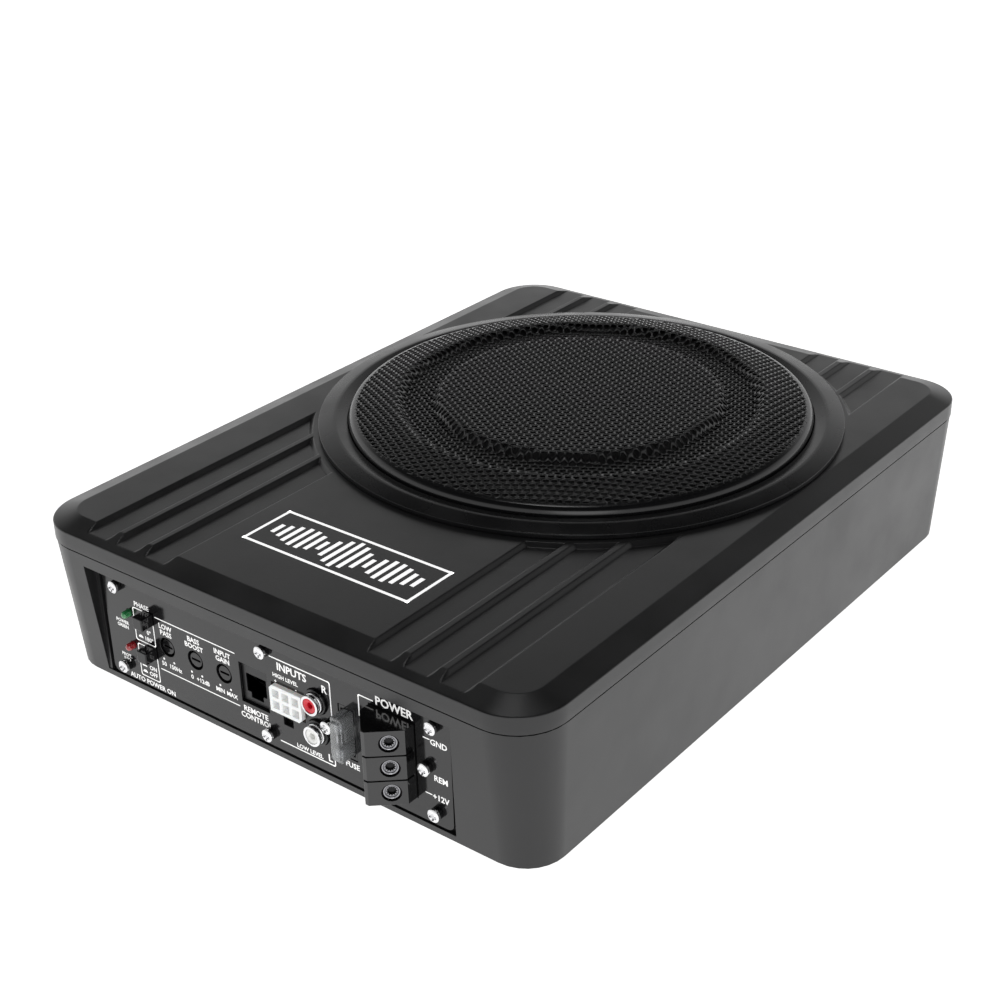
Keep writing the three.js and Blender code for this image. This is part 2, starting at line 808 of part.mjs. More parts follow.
function makeHighLevelSocket() {
  const face = panelY - highLevel.reach;
  const left = highLevel.x - highLevel.width / 2;
  const right = highLevel.x + highLevel.width / 2;
  const low = highLevel.z - highLevel.height / 2;
  const high = highLevel.z + highLevel.height / 2;
  const bevel = highLevel.bevel;
  let body = prismY([
    [left, low],
    [right - bevel, low],
    [right, low + bevel],
    [right, high],
    [left + bevel, high],
    [left, high - bevel],
  ], face, backY + bodyDepth);
  const cell = 3.4;
  const pitch = 5;
  for (const row of [-0.5, 0.5]) {
    for (const column of [-1, 0, 1]) {
      const x = highLevel.x + column * pitch;
      const z = highLevel.z + row * pitch;
      body = cut(body, blockAt(x, z, cell, cell, face - 1, face + 8));
    }
  }
  return body;
}

function makeRcaBlock() {
  const left = rcaX - rcaMargin;
  const right = fuseX - fuseWindow.width / 2 - slip;
  const low = rcaRows.rca_jack_left - rcaMargin;
  const high = rcaRows.rca_jack_right + rcaMargin;
  let body = block(left, right, backY, backY + bodyDepth, low, high);
  for (const z of Object.values(rcaRows)) {
    body = join(body, cylinderY(rcaCollar, panelY - rcaCollarReach, backY + 1, rcaX, z, 24));
    body = cut(body, cylinderY(rcaRadius + slip, panelY - 4, panelY + 1, rcaX, z, 20));
  }
  return cut(body, cylinderY(screwHole, backY - 1, backY + 5, rcaScrew[0], rcaScrew[1], 12));
}

function makeRcaJack(z) {
  const tip = panelY - rcaReach;
  return turnedY([
    [0, panelY - 1],
    [rcaBore, panelY - 1],
    [rcaBore, tip],
    [rcaRadius, tip],
    [rcaRadius, panelY + 1 - fit],
    [0, panelY + 1 - fit],
  ], rcaX, z, 20);
}

function makeFuseHolder() {
  const width = fuseWindow.width - 2 * slip;
  const height = fuseWindow.height - 2 * slip;
  const end = backY + bodyDepth + 2;
  const body = blockAt(fuseX, fuseZ, width, height, panelY + slip, end);
  const mouth = blockAt(fuseX, fuseZ, fuseBody.width + 2 * fit, fuseBody.height + 2 * fit, panelY - 1,
    panelY + fuseBody.depth + fit);
  const slots = [-1, 1].map((side) => blockAt(fuseX, fuseZ + side * blade.offset, blade.width + 0.6,
    blade.height + 0.6, panelY, panelY + fuseBody.depth + blade.length + 1));
  return cut(body, mouth, ...slots);
}

function makeFuse() {
  const back = panelY + fuseBody.depth;
  const body = blockAt(fuseX, fuseZ, fuseBody.width, fuseBody.height, panelY - fuseBody.reach, back);
  const blades = [-1, 1].map((side) => blockAt(fuseX, fuseZ + side * blade.offset, blade.width, blade.height,
    back - 1, back + blade.length));
  return join(body, ...blades);
}

// ------------------------------------------------------------------ terminal block
// Seen from above the block has two straight sides and a blunt nose: the screws
// sit in the nose's right face, and the wires go in through the left side.
const noseX = terminalLeft + 9.7;
const noseReach = 15;
const leftReach = 4.9;
const rightReach = 5;
const noseBevel = 1.1;
const faceRun = new THREE.Vector2(terminalRight - noseX, noseReach - rightReach);
const faceLength = faceRun.length();
const faceAngle = Math.atan2(noseReach - rightReach, terminalRight - noseX);
const screwAlong = 0.62;
const screwPoint = [
  noseX + screwAlong * (terminalRight - noseX),
  panelY - noseReach + screwAlong * (noseReach - rightReach),
];
const screwOut = [Math.sin(faceAngle), -Math.cos(faceAngle)];
const clampHeadRadius = 3.2;
const clampShankRadius = 1.7;
const clampHeadSink = 0.5;
const clampHeadEnd = 2.9;
const clampReach = 7.5;
const wireTunnel = { width: 4.6, height: 6.4, reach: 2.4, length: 14.4 };
const cagePlate = { width: 2.8, height: 5, thickness: 1, reach: 8.2 };

function terminalOutline(inset) {
  const alongX = Math.cos(faceAngle) * noseBevel;
  const alongY = Math.sin(faceAngle) * noseBevel;
  const noseY = panelY - noseReach + inset * 1.2;
  return [
    [terminalLeft + inset, panelBack + 6],
    [terminalLeft + inset, panelY - leftReach + inset * 0.4],
    [noseX - alongX, noseY + alongY],
    [noseX + alongX, noseY + alongY],
    [terminalRight - inset, panelY - rightReach + inset * 0.4],
    [terminalRight - inset, panelBack + 6],
  ];
}

// Turned about a clamp screw's own axis: the profile is [radius, depth inside the face].
function alongScrew(profile, z, sides = 16) {
  const shape = revolve(profile, sides).rotateZ(faceAngle);
  return solid(shape.translate(screwPoint[0], screwPoint[1], z));
}

function terminalRow(way) {
  return terminalBottom + (way + 0.5) * terminalPitch;
}

function makeTerminalBlock() {
  let body = prismZ(terminalOutline(0), terminalBottom, terminalTop);
  for (let way = 1; way < terminalWays; way += 1) {
    const z = terminalBottom + way * terminalPitch;
    const around = block(terminalLeft - 1, terminalRight + 1, panelY - noseReach - 1, panelY - 1, z - 0.35, z + 0.35);
    body = cut(body, cut(around, prismZ(terminalOutline(0.9), z - 1, z + 1)));
  }
  for (let way = 0; way < terminalWays; way += 1) {
    const z = terminalRow(way);
    const tunnelY = panelY - wireTunnel.reach;
    const tunnel = block(terminalLeft - 1, terminalLeft + wireTunnel.length, tunnelY - wireTunnel.width / 2,
      tunnelY + wireTunnel.width / 2, z - wireTunnel.height / 2, z + wireTunnel.height / 2);
    body = cut(
      body,
      tunnel,
      alongScrew([
        [0, -3],
        [clampHeadRadius + 0.5, -3],
        [clampHeadRadius + 0.5, clampHeadEnd + fit],
        [clampShankRadius + fit, clampHeadEnd + fit],
        [clampShankRadius + fit, clampReach + 1],
        [0, clampReach + 1],
      ], z),
    );
  }
  return body;
}

function makeTerminalScrew(way) {
  const z = terminalRow(way);
  const screw = alongScrew([
    [0, clampHeadSink],
    [clampHeadRadius, clampHeadSink],
    [clampHeadRadius, clampHeadEnd],
    [clampShankRadius, clampHeadEnd],
    [clampShankRadius, clampReach],
    [0, clampReach],
  ], z);
  const slot = new THREE.BoxGeometry(clampHeadRadius * 1.3, 2, 0.9);
  slot.translate(0, clampHeadSink, 0).rotateZ(faceAngle);
  return cut(screw, solid(slot.translate(screwPoint[0], screwPoint[1], z)));
}

function makeTerminalCage(way) {
  const plate = new THREE.BoxGeometry(cagePlate.width, cagePlate.thickness, cagePlate.height);
  plate.translate(0, cagePlate.reach, 0).rotateZ(faceAngle);
  return solid(plate.translate(screwPoint[0], screwPoint[1], terminalRow(way)));
}

// --------------------------------------------------------- amplifier electronics
function makeBoard() {
  const front = backY + bodyDepth + 4;
  return block(windowLeft, windowRight, front, boardBack, boardBottom, boardTop);
}

function makeHeatsink() {
  const low = boardTop + seat;
  const x0 = windowLeft + 6;
  const x1 = x0 + 84;
  const y1 = boardBack - 4;
  let bar = block(x0, x1, y1 - 14, y1, low, low + 26);
  const fins = 11;
  const pitch = (x1 - x0) / fins;
  for (let k = 0; k < fins; k += 1) {
    const x = x0 + (k + 0.5) * pitch;
    bar = cut(bar, block(x - pitch / 4, x + pitch / 4, y1 - 10, y1 + 1, low + 4, low + 27));
  }
  return bar;
}

function makeToroid() {
  const x = 40;
  const y = boardBack - 22;
  const low = boardTop + seat;
  return turned([[6, low], [15, low], [16.5, low + 2], [16.5, low + 11], [15, low + 13], [6, low + 13]], x, y, 28);
}

function makeCapacitor() {
  const low = boardTop + seat;
  return turned([[0, low], [8, low], [8, low + 25], [7, low + 26], [0, low + 26]], 70, boardBack - 18, 24);
}

// ------------------------------------------------------------------- the assembly
add('base_case', makeBase(), blackCase);
add('lid', makeLid(), blackCase);
postCorners.forEach(([sx, sy], k) => {
  add(`foot_${k + 1}`, cylinderZ(footRadius, 0, caseBottom + footSink - fit, sx * footX, sy * footY, 24), rubber);
});
postCorners.forEach(([sx, sy], k) => {
  add(`case_screw_${k + 1}`, makeCaseScrew(sx * postX, sy * postY), plainSteel);
});
add('control_panel', makePanel(), panelPaint);
const panelScrews = screwRows.flatMap((z) => screwColumns.map((x) => [x, z]));
panelScrews.push([remX, remZ]);
panelScrews.forEach(([x, z], k) => add(`panel_screw_${k + 1}`, makePanelScrew(x, z), brightSteel));
add('rca_screw', makePanelScrew(rcaScrew[0], rcaScrew[1]), brightSteel);
Object.entries(lampRows).forEach(([name, z]) => {
  add(name, makeLamp(z), name.endsWith('green') ? greenLens : redLens);
});
Object.entries(buttonRows).forEach(([name, z]) => {
  add(name, makeButton(z), glossBlack);
  add(name.replace('button', 'switch'), makeSwitch(z), blackTrim);
});
Object.entries(knobRows).forEach(([name, x]) => {
  add(name, makeKnobShaft(x), blackTrim);
  add(name.replace('shaft', 'control'), makeKnobBody(x), aluminium);
});
add('remote_socket', makeRemoteSocket(), blackTrim);
add('high_level_socket', makeHighLevelSocket(), whitePlastic);
add('rca_block', makeRcaBlock(), glossBlack);
Object.entries(rcaRows).forEach(([name, z]) => add(name, makeRcaJack(z), brightSteel));
add('fuse_holder', makeFuseHolder(), glossBlack);
add('fuse', makeFuse(), clearPlastic);
add('terminal_block', makeTerminalBlock(), glossBlack);
for (let way = 0; way < terminalWays; way += 1) {
  add(`terminal_screw_${way + 1}`, makeTerminalScrew(way), brightSteel);
  add(`terminal_cage_${way + 1}`, makeTerminalCage(way), plainSteel);
}
add('trim_ring', makeRing(), blackTrim);
add('grille', makeGrille(), grilleSteel);
add('woofer_basket', makeBasket(), plainSteel);
add('woofer_surround', makeSurround(), rubber);
add('woofer_cone', makeCone(), conePaper);
add('dust_cap', makeDustCap(), conePaper);
add('voice_coil', makeCoil(), copper);
add('woofer_spider', makeSpider(), spiderCloth);
add('top_plate', makeTopPlate(), plainSteel);
add('magnet', makeMagnet(), ferrite);
add('back_plate', makeBackPlate(), plainSteel);
add('amplifier_board', makeBoard(), boardGreen);
add('heatsink', makeHeatsink(), aluminium);
add('toroid', makeToroid(), copper);
add('main_capacitor', makeCapacitor(), capSleeve);

const overall = new THREE.Box3().setFromObject(model);
const shiftY = -(overall.min.y + overall.max.y) / 2;
model.children.forEach((mesh) => mesh.geometry.translate(0, shiftY, 0));

export default model;
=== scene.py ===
"""Looks of a powered under-seat car subwoofer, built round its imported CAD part.

Sizes in this file are in millimetres from the middle of the case on the floor; the
function place() moves them into the frame, in metres.
"""

import json
import math

import bmesh
import bpy
import numpy as np
from mathutils import Matrix, Vector


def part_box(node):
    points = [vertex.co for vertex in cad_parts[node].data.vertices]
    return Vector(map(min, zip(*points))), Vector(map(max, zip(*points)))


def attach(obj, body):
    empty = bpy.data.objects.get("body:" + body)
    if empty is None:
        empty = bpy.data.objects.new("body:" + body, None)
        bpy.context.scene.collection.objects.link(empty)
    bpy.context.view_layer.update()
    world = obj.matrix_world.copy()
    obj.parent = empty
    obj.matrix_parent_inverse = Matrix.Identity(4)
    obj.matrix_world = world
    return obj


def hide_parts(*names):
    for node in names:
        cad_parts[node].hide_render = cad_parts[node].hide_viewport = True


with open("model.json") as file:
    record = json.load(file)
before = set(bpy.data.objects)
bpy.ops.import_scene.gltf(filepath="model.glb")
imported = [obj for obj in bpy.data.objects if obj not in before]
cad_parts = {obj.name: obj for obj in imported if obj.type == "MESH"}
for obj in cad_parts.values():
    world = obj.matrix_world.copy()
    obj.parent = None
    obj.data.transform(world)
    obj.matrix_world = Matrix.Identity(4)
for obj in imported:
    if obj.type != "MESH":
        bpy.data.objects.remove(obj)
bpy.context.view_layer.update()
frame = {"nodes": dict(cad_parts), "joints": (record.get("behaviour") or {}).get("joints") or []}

# ------------------------------------------------------------------ case landmarks
MM = 0.001
lid_low, lid_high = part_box("lid")
panel_low, panel_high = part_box("control_panel")
ring_low, ring_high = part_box("trim_ring")
MIDDLE_Y = (lid_low.y + lid_high.y) / 2
HALF_X = (lid_high.x - lid_low.x) / 2 / MM
HALF_Y = (lid_high.y - lid_low.y) / 2 / MM
LID_TOP = lid_high.z / MM
LID_LOW = lid_low.z / MM
PANEL_FACE = (panel_low.y - MIDDLE_Y) / MM
WOOFER_Y = ((ring_low.y + ring_high.y) / 2 - MIDDLE_Y) / MM
RING_RADIUS = (ring_high.x - ring_low.x) / 2 / MM

CORNER = 21.0
CHAMFER_WIDTH = 10.0
CHAMFER_DROP = 2.8
GROOVE_WIDTH = 13.7
GROOVE_PITCH = 16.3
GROOVE_DEPTH = 1.7
GROOVE_SLOPE = 1.7
GROOVE_GROUP = 73.2
PAD_RADIUS = RING_RADIUS + 2.4
MOUTH_RADIUS = 100.0
LID_WALL = 2.6


def place(points):
    """Millimetres from the middle of the case become metres in the frame."""
    return np.asarray(points, float) * MM + (0, MIDDLE_Y, 0)


# ------------------------------------------------------------------------- camera
def set_camera(azimuth, elevation, roll, distance, target, lens):
    """The camera looks at target from that azimuth and elevation, turned by roll about
    its own line of sight. Its three axes are right, up and back."""
    a, e, r = map(math.radians, (azimuth, elevation, roll))
    back = Vector((math.sin(a) * math.cos(e), -math.cos(a) * math.cos(e), math.sin(e)))
    right = Vector((math.cos(a), math.sin(a), 0))
    up = back.cross(right)
    side = right * math.cos(r) + up * math.sin(r)
    top = up * math.cos(r) - right * math.sin(r)
    lens_data = bpy.data.cameras.new("camera")
    lens_data.lens = lens
    lens_data.sensor_width = 36
    lens_data.clip_start = 0.01
    camera = bpy.data.objects.new("camera", lens_data)
    bpy.context.scene.collection.objects.link(camera)
    turn = Matrix((side, top, back)).transposed().to_4x4()
    camera.matrix_world = Matrix.Translation(Vector(target) + back * distance) @ turn
    bpy.context.scene.camera = camera


set_camera(38.61, 27.72, -1.45, 0.7682, (-0.0172, MIDDLE_Y + 0.00203, 0.03796), 63.02)


# --------------------------------------------------------------------- materials
def new_finish(name, color, roughness, metallic=0.0, grain=0.0, grain_size=0.6,
               mottle=0.12, spread=0.05, **sockets):
    """A finish: two noises on the object's own coordinates. The coarse one shifts the
    colour and the roughness a little, the fine one of grain_size mm raises the surface
    by grain mm. Other shader sockets are set directly."""
    finish = bpy.data.materials.new(name)
    finish.use_nodes = True
    tree = finish.node_tree
    shader = tree.nodes["Principled BSDF"]
    shader.inputs["Metallic"].default_value = metallic
    for socket, value in sockets.items():
        shader.inputs[socket.replace("_", " ")].default_value = value
    where = tree.nodes.new("ShaderNodeTexCoord")
    coarse = tree.nodes.new("ShaderNodeTexNoise")
    coarse.inputs["Scale"].default_value = 45
    coarse.inputs["Detail"].default_value = 5
    tree.links.new(where.outputs["Object"], coarse.inputs["Vector"])
    tint = tree.nodes.new("ShaderNodeValToRGB")
    tint.color_ramp.elements[0].position = 0.3
    tint.color_ramp.elements[1].position = 0.7
    tint.color_ramp.elements[0].color = (*[c * (1 - mottle) for c in color], 1)
    tint.color_ramp.elements[1].color = (*[min(c * (1 + mottle), 1) for c in color], 1)
    tree.links.new(coarse.outputs["Fac"], tint.inputs["Fac"])
    tree.links.new(tint.outputs["Color"], shader.inputs["Base Color"])
    rough = tree.nodes.new("ShaderNodeMapRange")
    rough.inputs["From Min"].default_value = 0.3
    rough.inputs["From Max"].default_value = 0.7
    rough.inputs["To Min"].default_value = max(roughness - spread, 0.02)
    rough.inputs["To Max"].default_value = min(roughness + spread, 1)
    tree.links.new(coarse.outputs["Fac"], rough.inputs["Value"])
    tree.links.new(rough.outputs["Result"], shader.inputs["Roughness"])
    if grain:
        fine = tree.nodes.new("ShaderNodeTexNoise")
        fine.inputs["Scale"].default_value = 1 / (grain_size * MM)
        fine.inputs["Detail"].default_value = 3
        tree.links.new(where.outputs["Object"], fine.inputs["Vector"])
        bump = tree.nodes.new("ShaderNodeBump")
        bump.inputs["Strength"].default_value = 1
        bump.inputs["Distance"].default_value = grain * MM
        tree.links.new(fine.outputs["Fac"], bump.inputs["Height"])
        tree.links.new(bump.outputs["Normal"], shader.inputs["Normal"])
    return finish


powder_coat = new_finish("powder_coat", (0.011, 0.011, 0.0115), 0.34, grain=0.02, grain_size=0.5,
                         Specular_IOR_Level=0.52)
panel_paint = new_finish("panel_paint", (0.007, 0.007, 0.0075), 0.13, spread=0.03,
                         Specular_IOR_Level=0.55)
ring_satin = new_finish("ring_satin", (0.005, 0.005, 0.0055), 0.27, grain=0.01, grain_size=0.5,
                        Specular_IOR_Level=0.35)
mesh_gloss = new_finish("mesh_gloss", (0.005, 0.005, 0.0055), 0.2, spread=0.03)
moulded_gloss = new_finish("moulded_gloss", (0.004, 0.004, 0.0045), 0.1, spread=0.02)
moulded_satin = new_finish("moulded_satin", (0.006, 0.006, 0.0065), 0.35, grain=0.01)
block_body = new_finish("block_body", (0.006, 0.006, 0.0065), 0.12, spread=0.03, Specular_IOR_Level=0.8)
foot_rubber = new_finish("foot_rubber", (0.012, 0.012, 0.012), 0.85, grain=0.02)
bright_plating = new_finish("bright_plating", (0.86, 0.86, 0.87), 0.22, 1.0, spread=0.06)
clamp_plating = new_finish("clamp_plating", (0.34, 0.34, 0.355), 0.2, 1.0, spread=0.05)
# Dark metal used as painted shade: it lines the clamp screws' sockets so that they look shaded deep
# inside.
socket_painted_shade = new_finish("socket_painted_shade", (0.02, 0.02, 0.021), 0.3, 0.8, spread=0.05)
dark_steel = new_finish("dark_steel", (0.16, 0.16, 0.17), 0.45, 1.0)
# White nylon with a painted glow: a weak emission keeps the socket brighter than the lamps alone light
# it.
white_nylon_painted_glow = new_finish("white_nylon_painted_glow", (0.87, 0.87, 0.86), 0.3, mottle=0.03, Subsurface_Weight=0.1,
                         Emission_Color=(1, 1, 1, 1), Emission_Strength=0.12)
# White print ink with a painted glow: its emission keeps the print bright whatever light falls on it.
white_ink_painted_glow = new_finish("white_ink_painted_glow", (0.9, 0.9, 0.89), 0.55, mottle=0.03,
                       Emission_Color=(1, 1, 1, 1), Emission_Strength=0.3)
# White print ink on the lid with a painted glow: a strong emission keeps the mark bright whatever light
# falls on it.
lid_ink_painted_glow = new_finish("lid_ink_painted_glow", (0.92, 0.92, 0.92), 0.55, mottle=0.03,
                     Emission_Color=(1, 1, 1, 1), Emission_Strength=0.7)
red_insulator = new_finish("red_insulator", (0.68, 0.01, 0.03), 0.3, mottle=0.08)
white_insulator = new_finish("white_insulator", (0.88, 0.88, 0.86), 0.3, mottle=0.03)
green_lens = new_finish("green_lens", (0.05, 0.42, 0.13), 0.08, Coat_Weight=1.0,
                        Transmission_Weight=0.45)
red_lens = new_finish("red_lens", (0.62, 0.03, 0.04), 0.08, Coat_Weight=1.0,
                      Transmission_Weight=0.45)
clear_shell = new_finish("clear_shell", (0.93, 0.95, 0.96), 0.05, mottle=0.01, spread=0.02,
                         Transmission_Weight=0.82, IOR=1.5)
cone_pulp = new_finish("cone_pulp", (0.010, 0.010, 0.011), 0.6, grain=0.06, grain_size=1.2)
roll_rubber = new_finish("roll_rubber", (0.008, 0.008, 0.008), 0.55, grain=0.01)
board_mask = new_finish("board_mask", (0.012, 0.11, 0.045), 0.35, grain=0.01)
plain_alu = new_finish("plain_alu", (0.60, 0.60, 0.61), 0.38, 1.0)
wound_copper = new_finish("wound_copper", (0.48, 0.19, 0.07), 0.35, 0.8, grain=0.1, grain_size=1.5)
spider_cloth = new_finish("spider_cloth", (0.42, 0.27, 0.08), 0.9, grain=0.1, grain_size=0.8)
ferrite_grey = new_finish("ferrite_grey", (0.03, 0.03, 0.032), 0.6, grain=0.03)
sleeve_blue = new_finish("sleeve_blue", (0.012, 0.025, 0.12), 0.3)


# ------------------------------------------------------------------- mesh helpers
def grid_faces(rows, columns, wrap=False, flip=False, start=0):
    """Quads between neighbours of a rows by columns grid of points, as index rows.
    With wrap the last row joins the first."""
    i = np.arange(rows if wrap else rows - 1)
    j = np.arange(columns - 1)
    a = (i[:, None] * columns + j).ravel()
    b = (((i + 1) % rows)[:, None] * columns + j).ravel()
    quads = np.stack([a, b, b + 1, a + 1], axis=1) + start
    return quads[:, ::-1] if flip else quads


def make_piece(name, points, faces, finish, body="case", stands_for=(),
               turn_out=True, smooth_below=35, merge=2e-6):
    """One finished piece from points in the frame and faces: doubles are merged, faces
    turned out, and edges sharper than smooth_below degrees stay crisp."""
    mesh = bpy.data.meshes.new(name)
    mesh.from_pydata(np.asarray(points, float).tolist(), [], [list(map(int, f)) for f in faces])
    shape = bmesh.new()
    shape.from_mesh(mesh)
    bmesh.ops.remove_doubles(shape, verts=shape.verts, dist=merge)
    bmesh.ops.dissolve_degenerate(shape, edges=shape.edges, dist=merge)
    if turn_out:
        bmesh.ops.recalc_face_normals(shape, faces=shape.faces)
    shape.to_mesh(mesh)
    shape.free()
    return finish_piece(mesh, name, finish, body, stands_for, smooth_below)


def finish_piece(mesh, name, finish, body, stands_for, smooth_below=35):
    mesh.materials.clear()
    mesh.materials.append(finish)
    mesh.polygons.foreach_set("use_smooth", np.ones(len(mesh.polygons), bool))
    mesh.set_sharp_from_angle(angle=math.radians(smooth_below))
    piece = bpy.data.objects.new(name, mesh)
    bpy.context.scene.collection.objects.link(piece)
    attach(piece, body)
    if stands_for:
        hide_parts(*stands_for)
    return piece


def soften(corners, radius, steps=4, closed=True):
    """A polyline with each corner replaced by a short curve: the curve leaves the corner's
    two sides at radius, or at 0.45 of a shorter side, and follows the quadratic Bezier
    through the corner."""
    p = np.asarray(corners, float)
    n = len(p)
    out = []
    t = np.linspace(0, 1, steps + 1)[:, None]
    for k in range(n):
        if not closed and k in (0, n - 1):
            out.append(p[k][None])
            continue
        into = p[k - 1] - p[k]
        away = p[(k + 1) % n] - p[k]
        reach_in = min(radius, 0.45 * np.linalg.norm(into))
        reach_out = min(radius, 0.45 * np.linalg.norm(away))
        first = p[k] + into / np.linalg.norm(into) * reach_in
        last = p[k] + away / np.linalg.norm(away) * reach_out
        out.append((1 - t) ** 2 * first + 2 * t * (1 - t) * p[k] + t**2 * last)
    return np.concatenate(out)


def turned(profile, centre, sides=64, upright=True):
    """A profile of [radius, height] turned about a line through centre: the angle runs
    round in equal steps, x and the second axis are radius times its cosine and sine.
    Upright turns about Z; otherwise about Y, where height is the distance along +Y."""
    p = np.asarray(profile, float)
    p = np.vstack([p, p[:1]])
    angle = np.arange(sides) * 2 * np.pi / sides
    radius, height = p[:, 0], p[:, 1]
    across = np.cos(angle)[:, None] * radius
    round_ = np.sin(angle)[:, None] * radius
    level = np.broadcast_to(height, across.shape)
    if upright:
        points = np.stack([centre[0] + across, centre[1] + round_, level], axis=2)
    else:
        points = np.stack([centre[0] + across, level, centre[1] + round_], axis=2)
    return points.reshape(-1, 3), grid_faces(sides, len(p), wrap=True)


def joined(parts):
    """Several (points, faces) as one."""
    points, faces, count = [], [], 0
    for p, f in parts:
        points.append(np.asarray(p, float))
        faces.extend([int(v) + count for v in face] for face in f)
        count += len(p)
    return np.concatenate(points), faces


def softened(node, finish, body="case", edge=0.2, steps=2, angle=32, smooth_below=50):
    """A merged copy of a CAD node with its flat triangles joined and its edges rounded by
    edge mm. It stands for the node."""
    shape = bmesh.new()
    shape.from_mesh(frame["nodes"][node].data)
    bmesh.ops.remove_doubles(shape, verts=shape.verts, dist=2e-6)
    bmesh.ops.dissolve_degenerate(shape, edges=shape.edges, dist=2e-6)
    bmesh.ops.dissolve_limit(shape, angle_limit=math.radians(0.4), verts=shape.verts,
                             edges=shape.edges)
    mesh = bpy.data.meshes.new(node + "_finished")
    shape.to_mesh(mesh)
    shape.free()
    piece = finish_piece(mesh, node + "_finished", finish, body, [node], smooth_below)
    if edge:
        bevel = piece.modifiers.new("rounded_edges", "BEVEL")
        bevel.width = edge * MM
        bevel.segments = steps
        bevel.limit_method = "ANGLE"
        bevel.angle_limit = math.radians(angle)
        bevel.use_clamp_overlap = True
        bevel.miter_outer = "MITER_ARC"
    weighted = piece.modifiers.new("even_shading", "WEIGHTED_NORMAL")
    weighted.keep_sharp = True
    return piece


# ----------------------------------------------------------------------- lid shell
def smooth_min(a, b, k):
    """The smaller of a and b, rounded where they are within k of each other."""
    h = np.maximum(k - np.abs(a - b), 0) / k
    return np.minimum(a, b) - h * h * k / 4


def smooth_max(a, b, k):
    """The larger of a and b, rounded the same way."""
    return -smooth_min(-a, -b, k)


def lid_height(x, y):
    """Height of the lid over the floor at x, y: the lowest of the flat top, the chamfer
    that drops with the distance inside the rounded outline, and the grooves, which the
    round pad under the ring fills up again."""
    ax = np.maximum(np.abs(x) - (HALF_X - CORNER), 0)
    ay = np.maximum(np.abs(y) - (HALF_Y - CORNER), 0)
    inside = CORNER - np.hypot(ax, ay)
    drop = CHAMFER_DROP * (1 - inside / CHAMFER_WIDTH)
    chamfer = LID_TOP - smooth_max(drop, 0 * drop, 0.1)
    k = np.clip(np.round((np.abs(x) - GROOVE_GROUP) / GROOVE_PITCH), -1, 1)
    off = np.abs(np.abs(x) - GROOVE_GROUP - k * GROOVE_PITCH)
    rise = (off - (GROOVE_WIDTH / 2 - GROOVE_SLOPE)) * GROOVE_DEPTH / GROOVE_SLOPE
    rise = smooth_min(smooth_max(rise, 0 * rise, 0.3), 0 * rise + GROOVE_DEPTH, 0.3)
    from_ring = np.hypot(x, y - WOOFER_Y) - PAD_RADIUS
    sink = smooth_max(from_ring * GROOVE_DEPTH / GROOVE_SLOPE, 0 * from_ring, 0.3)
    sink = smooth_min(sink, 0 * sink + GROOVE_DEPTH, 0.3)
    grooved = LID_TOP - np.minimum(GROOVE_DEPTH - rise, sink)
    return smooth_min(chamfer, grooved, 0.06)


EDGE_STEPS = np.array([0.3, 0.9, 2.2, 3.4, 3.9, 4.4, 5.6, 7.2, 8.8, 9.6, 9.85, 10.0, 10.15, 10.4, 11.0])
CHAMFER_LOW = LID_TOP - CHAMFER_DROP
RIM = np.array([
    [0.5, LID_LOW], [0.2, LID_LOW + 0.05], [0.0, LID_LOW + 0.3], [0.0, LID_LOW + 3.0],
    [0.0, CHAMFER_LOW - 0.5], [0.04, CHAMFER_LOW - 0.2],
])
CIRCLES = np.array([0.7, 0.3, 0.1, -0.1, -0.4, -0.85, -1.3, -1.6, -1.8, -2.0, -2.5])


def lid_columns():
    """X of the grid lines over the straight part of the lid, crowded at groove edges."""
    near = np.array([0.7, 0.35, 0.12, -0.12, -0.35, -0.85])
    lines = [np.linspace(0, GROOVE_GROUP - GROOVE_PITCH - 9, 9), [HALF_X - CORNER, 100]]
    for k in (-1, 0, 1):
        centre = GROOVE_GROUP + k * GROOVE_PITCH
        for side in (-1, 1):
            top = centre + side * GROOVE_WIDTH / 2
            foot = top - side * GROOVE_SLOPE
            lines += [top + side * near, foot - side * near[:5]]
        lines.append(centre + np.linspace(-3.6, 3.6, 4))
    half = np.unique(np.round(np.concatenate(lines), 3))
    return np.concatenate([-half[:0:-1], half])


def half_rows(x, side):
    """Y of the grid lines between one end of the lid (side -1 front, 1 rear) and the mouth
    of the woofer, for every column x: first the lines along the edge, then a blend
    towards the pad's circle, then circles round the woofer."""
    end = side * HALF_Y
    edge = np.broadcast_to(end - side * EDGE_STEPS, (len(x), len(EDGE_STEPS)))
    radii = np.append(PAD_RADIUS + GROOVE_SLOPE + CIRCLES, [PAD_RADIUS - 8, MOUTH_RADIUS])
    reach = np.sqrt(np.maximum(radii**2 - x[:, None] ** 2, 0))
    circles = WOOFER_Y + side * reach
    last = end - side * EDGE_STEPS[-1]
    circles = np.maximum(circles, last) if side < 0 else np.minimum(circles, last)
    x_edge = HALF_X - CORNER
    outer = WOOFER_Y + side * math.sqrt(radii[0] ** 2 - x_edge**2) if radii[0] > x_edge else WOOFER_Y
    corner_share = (end - side * CORNER - last) / (outer - last)
    shares = np.unique(np.append(np.array([0.3, 0.5, 0.7, 0.86, 0.95]), corner_share))
    blend = last + shares * (circles[:, :1] - last)
    return np.concatenate([edge, blend, circles], axis=1)


def lid_half(x, side):
    """Points and faces of the straight part of the lid on one side of the mouth."""
    y = half_rows(x, side)
    xx = np.broadcast_to(x[:, None], y.shape)
    z = lid_height(xx, y)
    rim_y = np.broadcast_to(side * (HALF_Y - RIM[:, 0]), (len(x), len(RIM)))
    rim_z = np.broadcast_to(RIM[:, 1], rim_y.shape)
    rim_x = np.broadcast_to(x[:, None], rim_y.shape)
    grid = np.stack([
        np.concatenate([rim_x, xx], axis=1),
        np.concatenate([rim_y, y], axis=1),
        np.concatenate([rim_z, z], axis=1),
    ], axis=2)
    return grid.reshape(-1, 3), grid_faces(len(x), grid.shape[1], flip=side > 0)


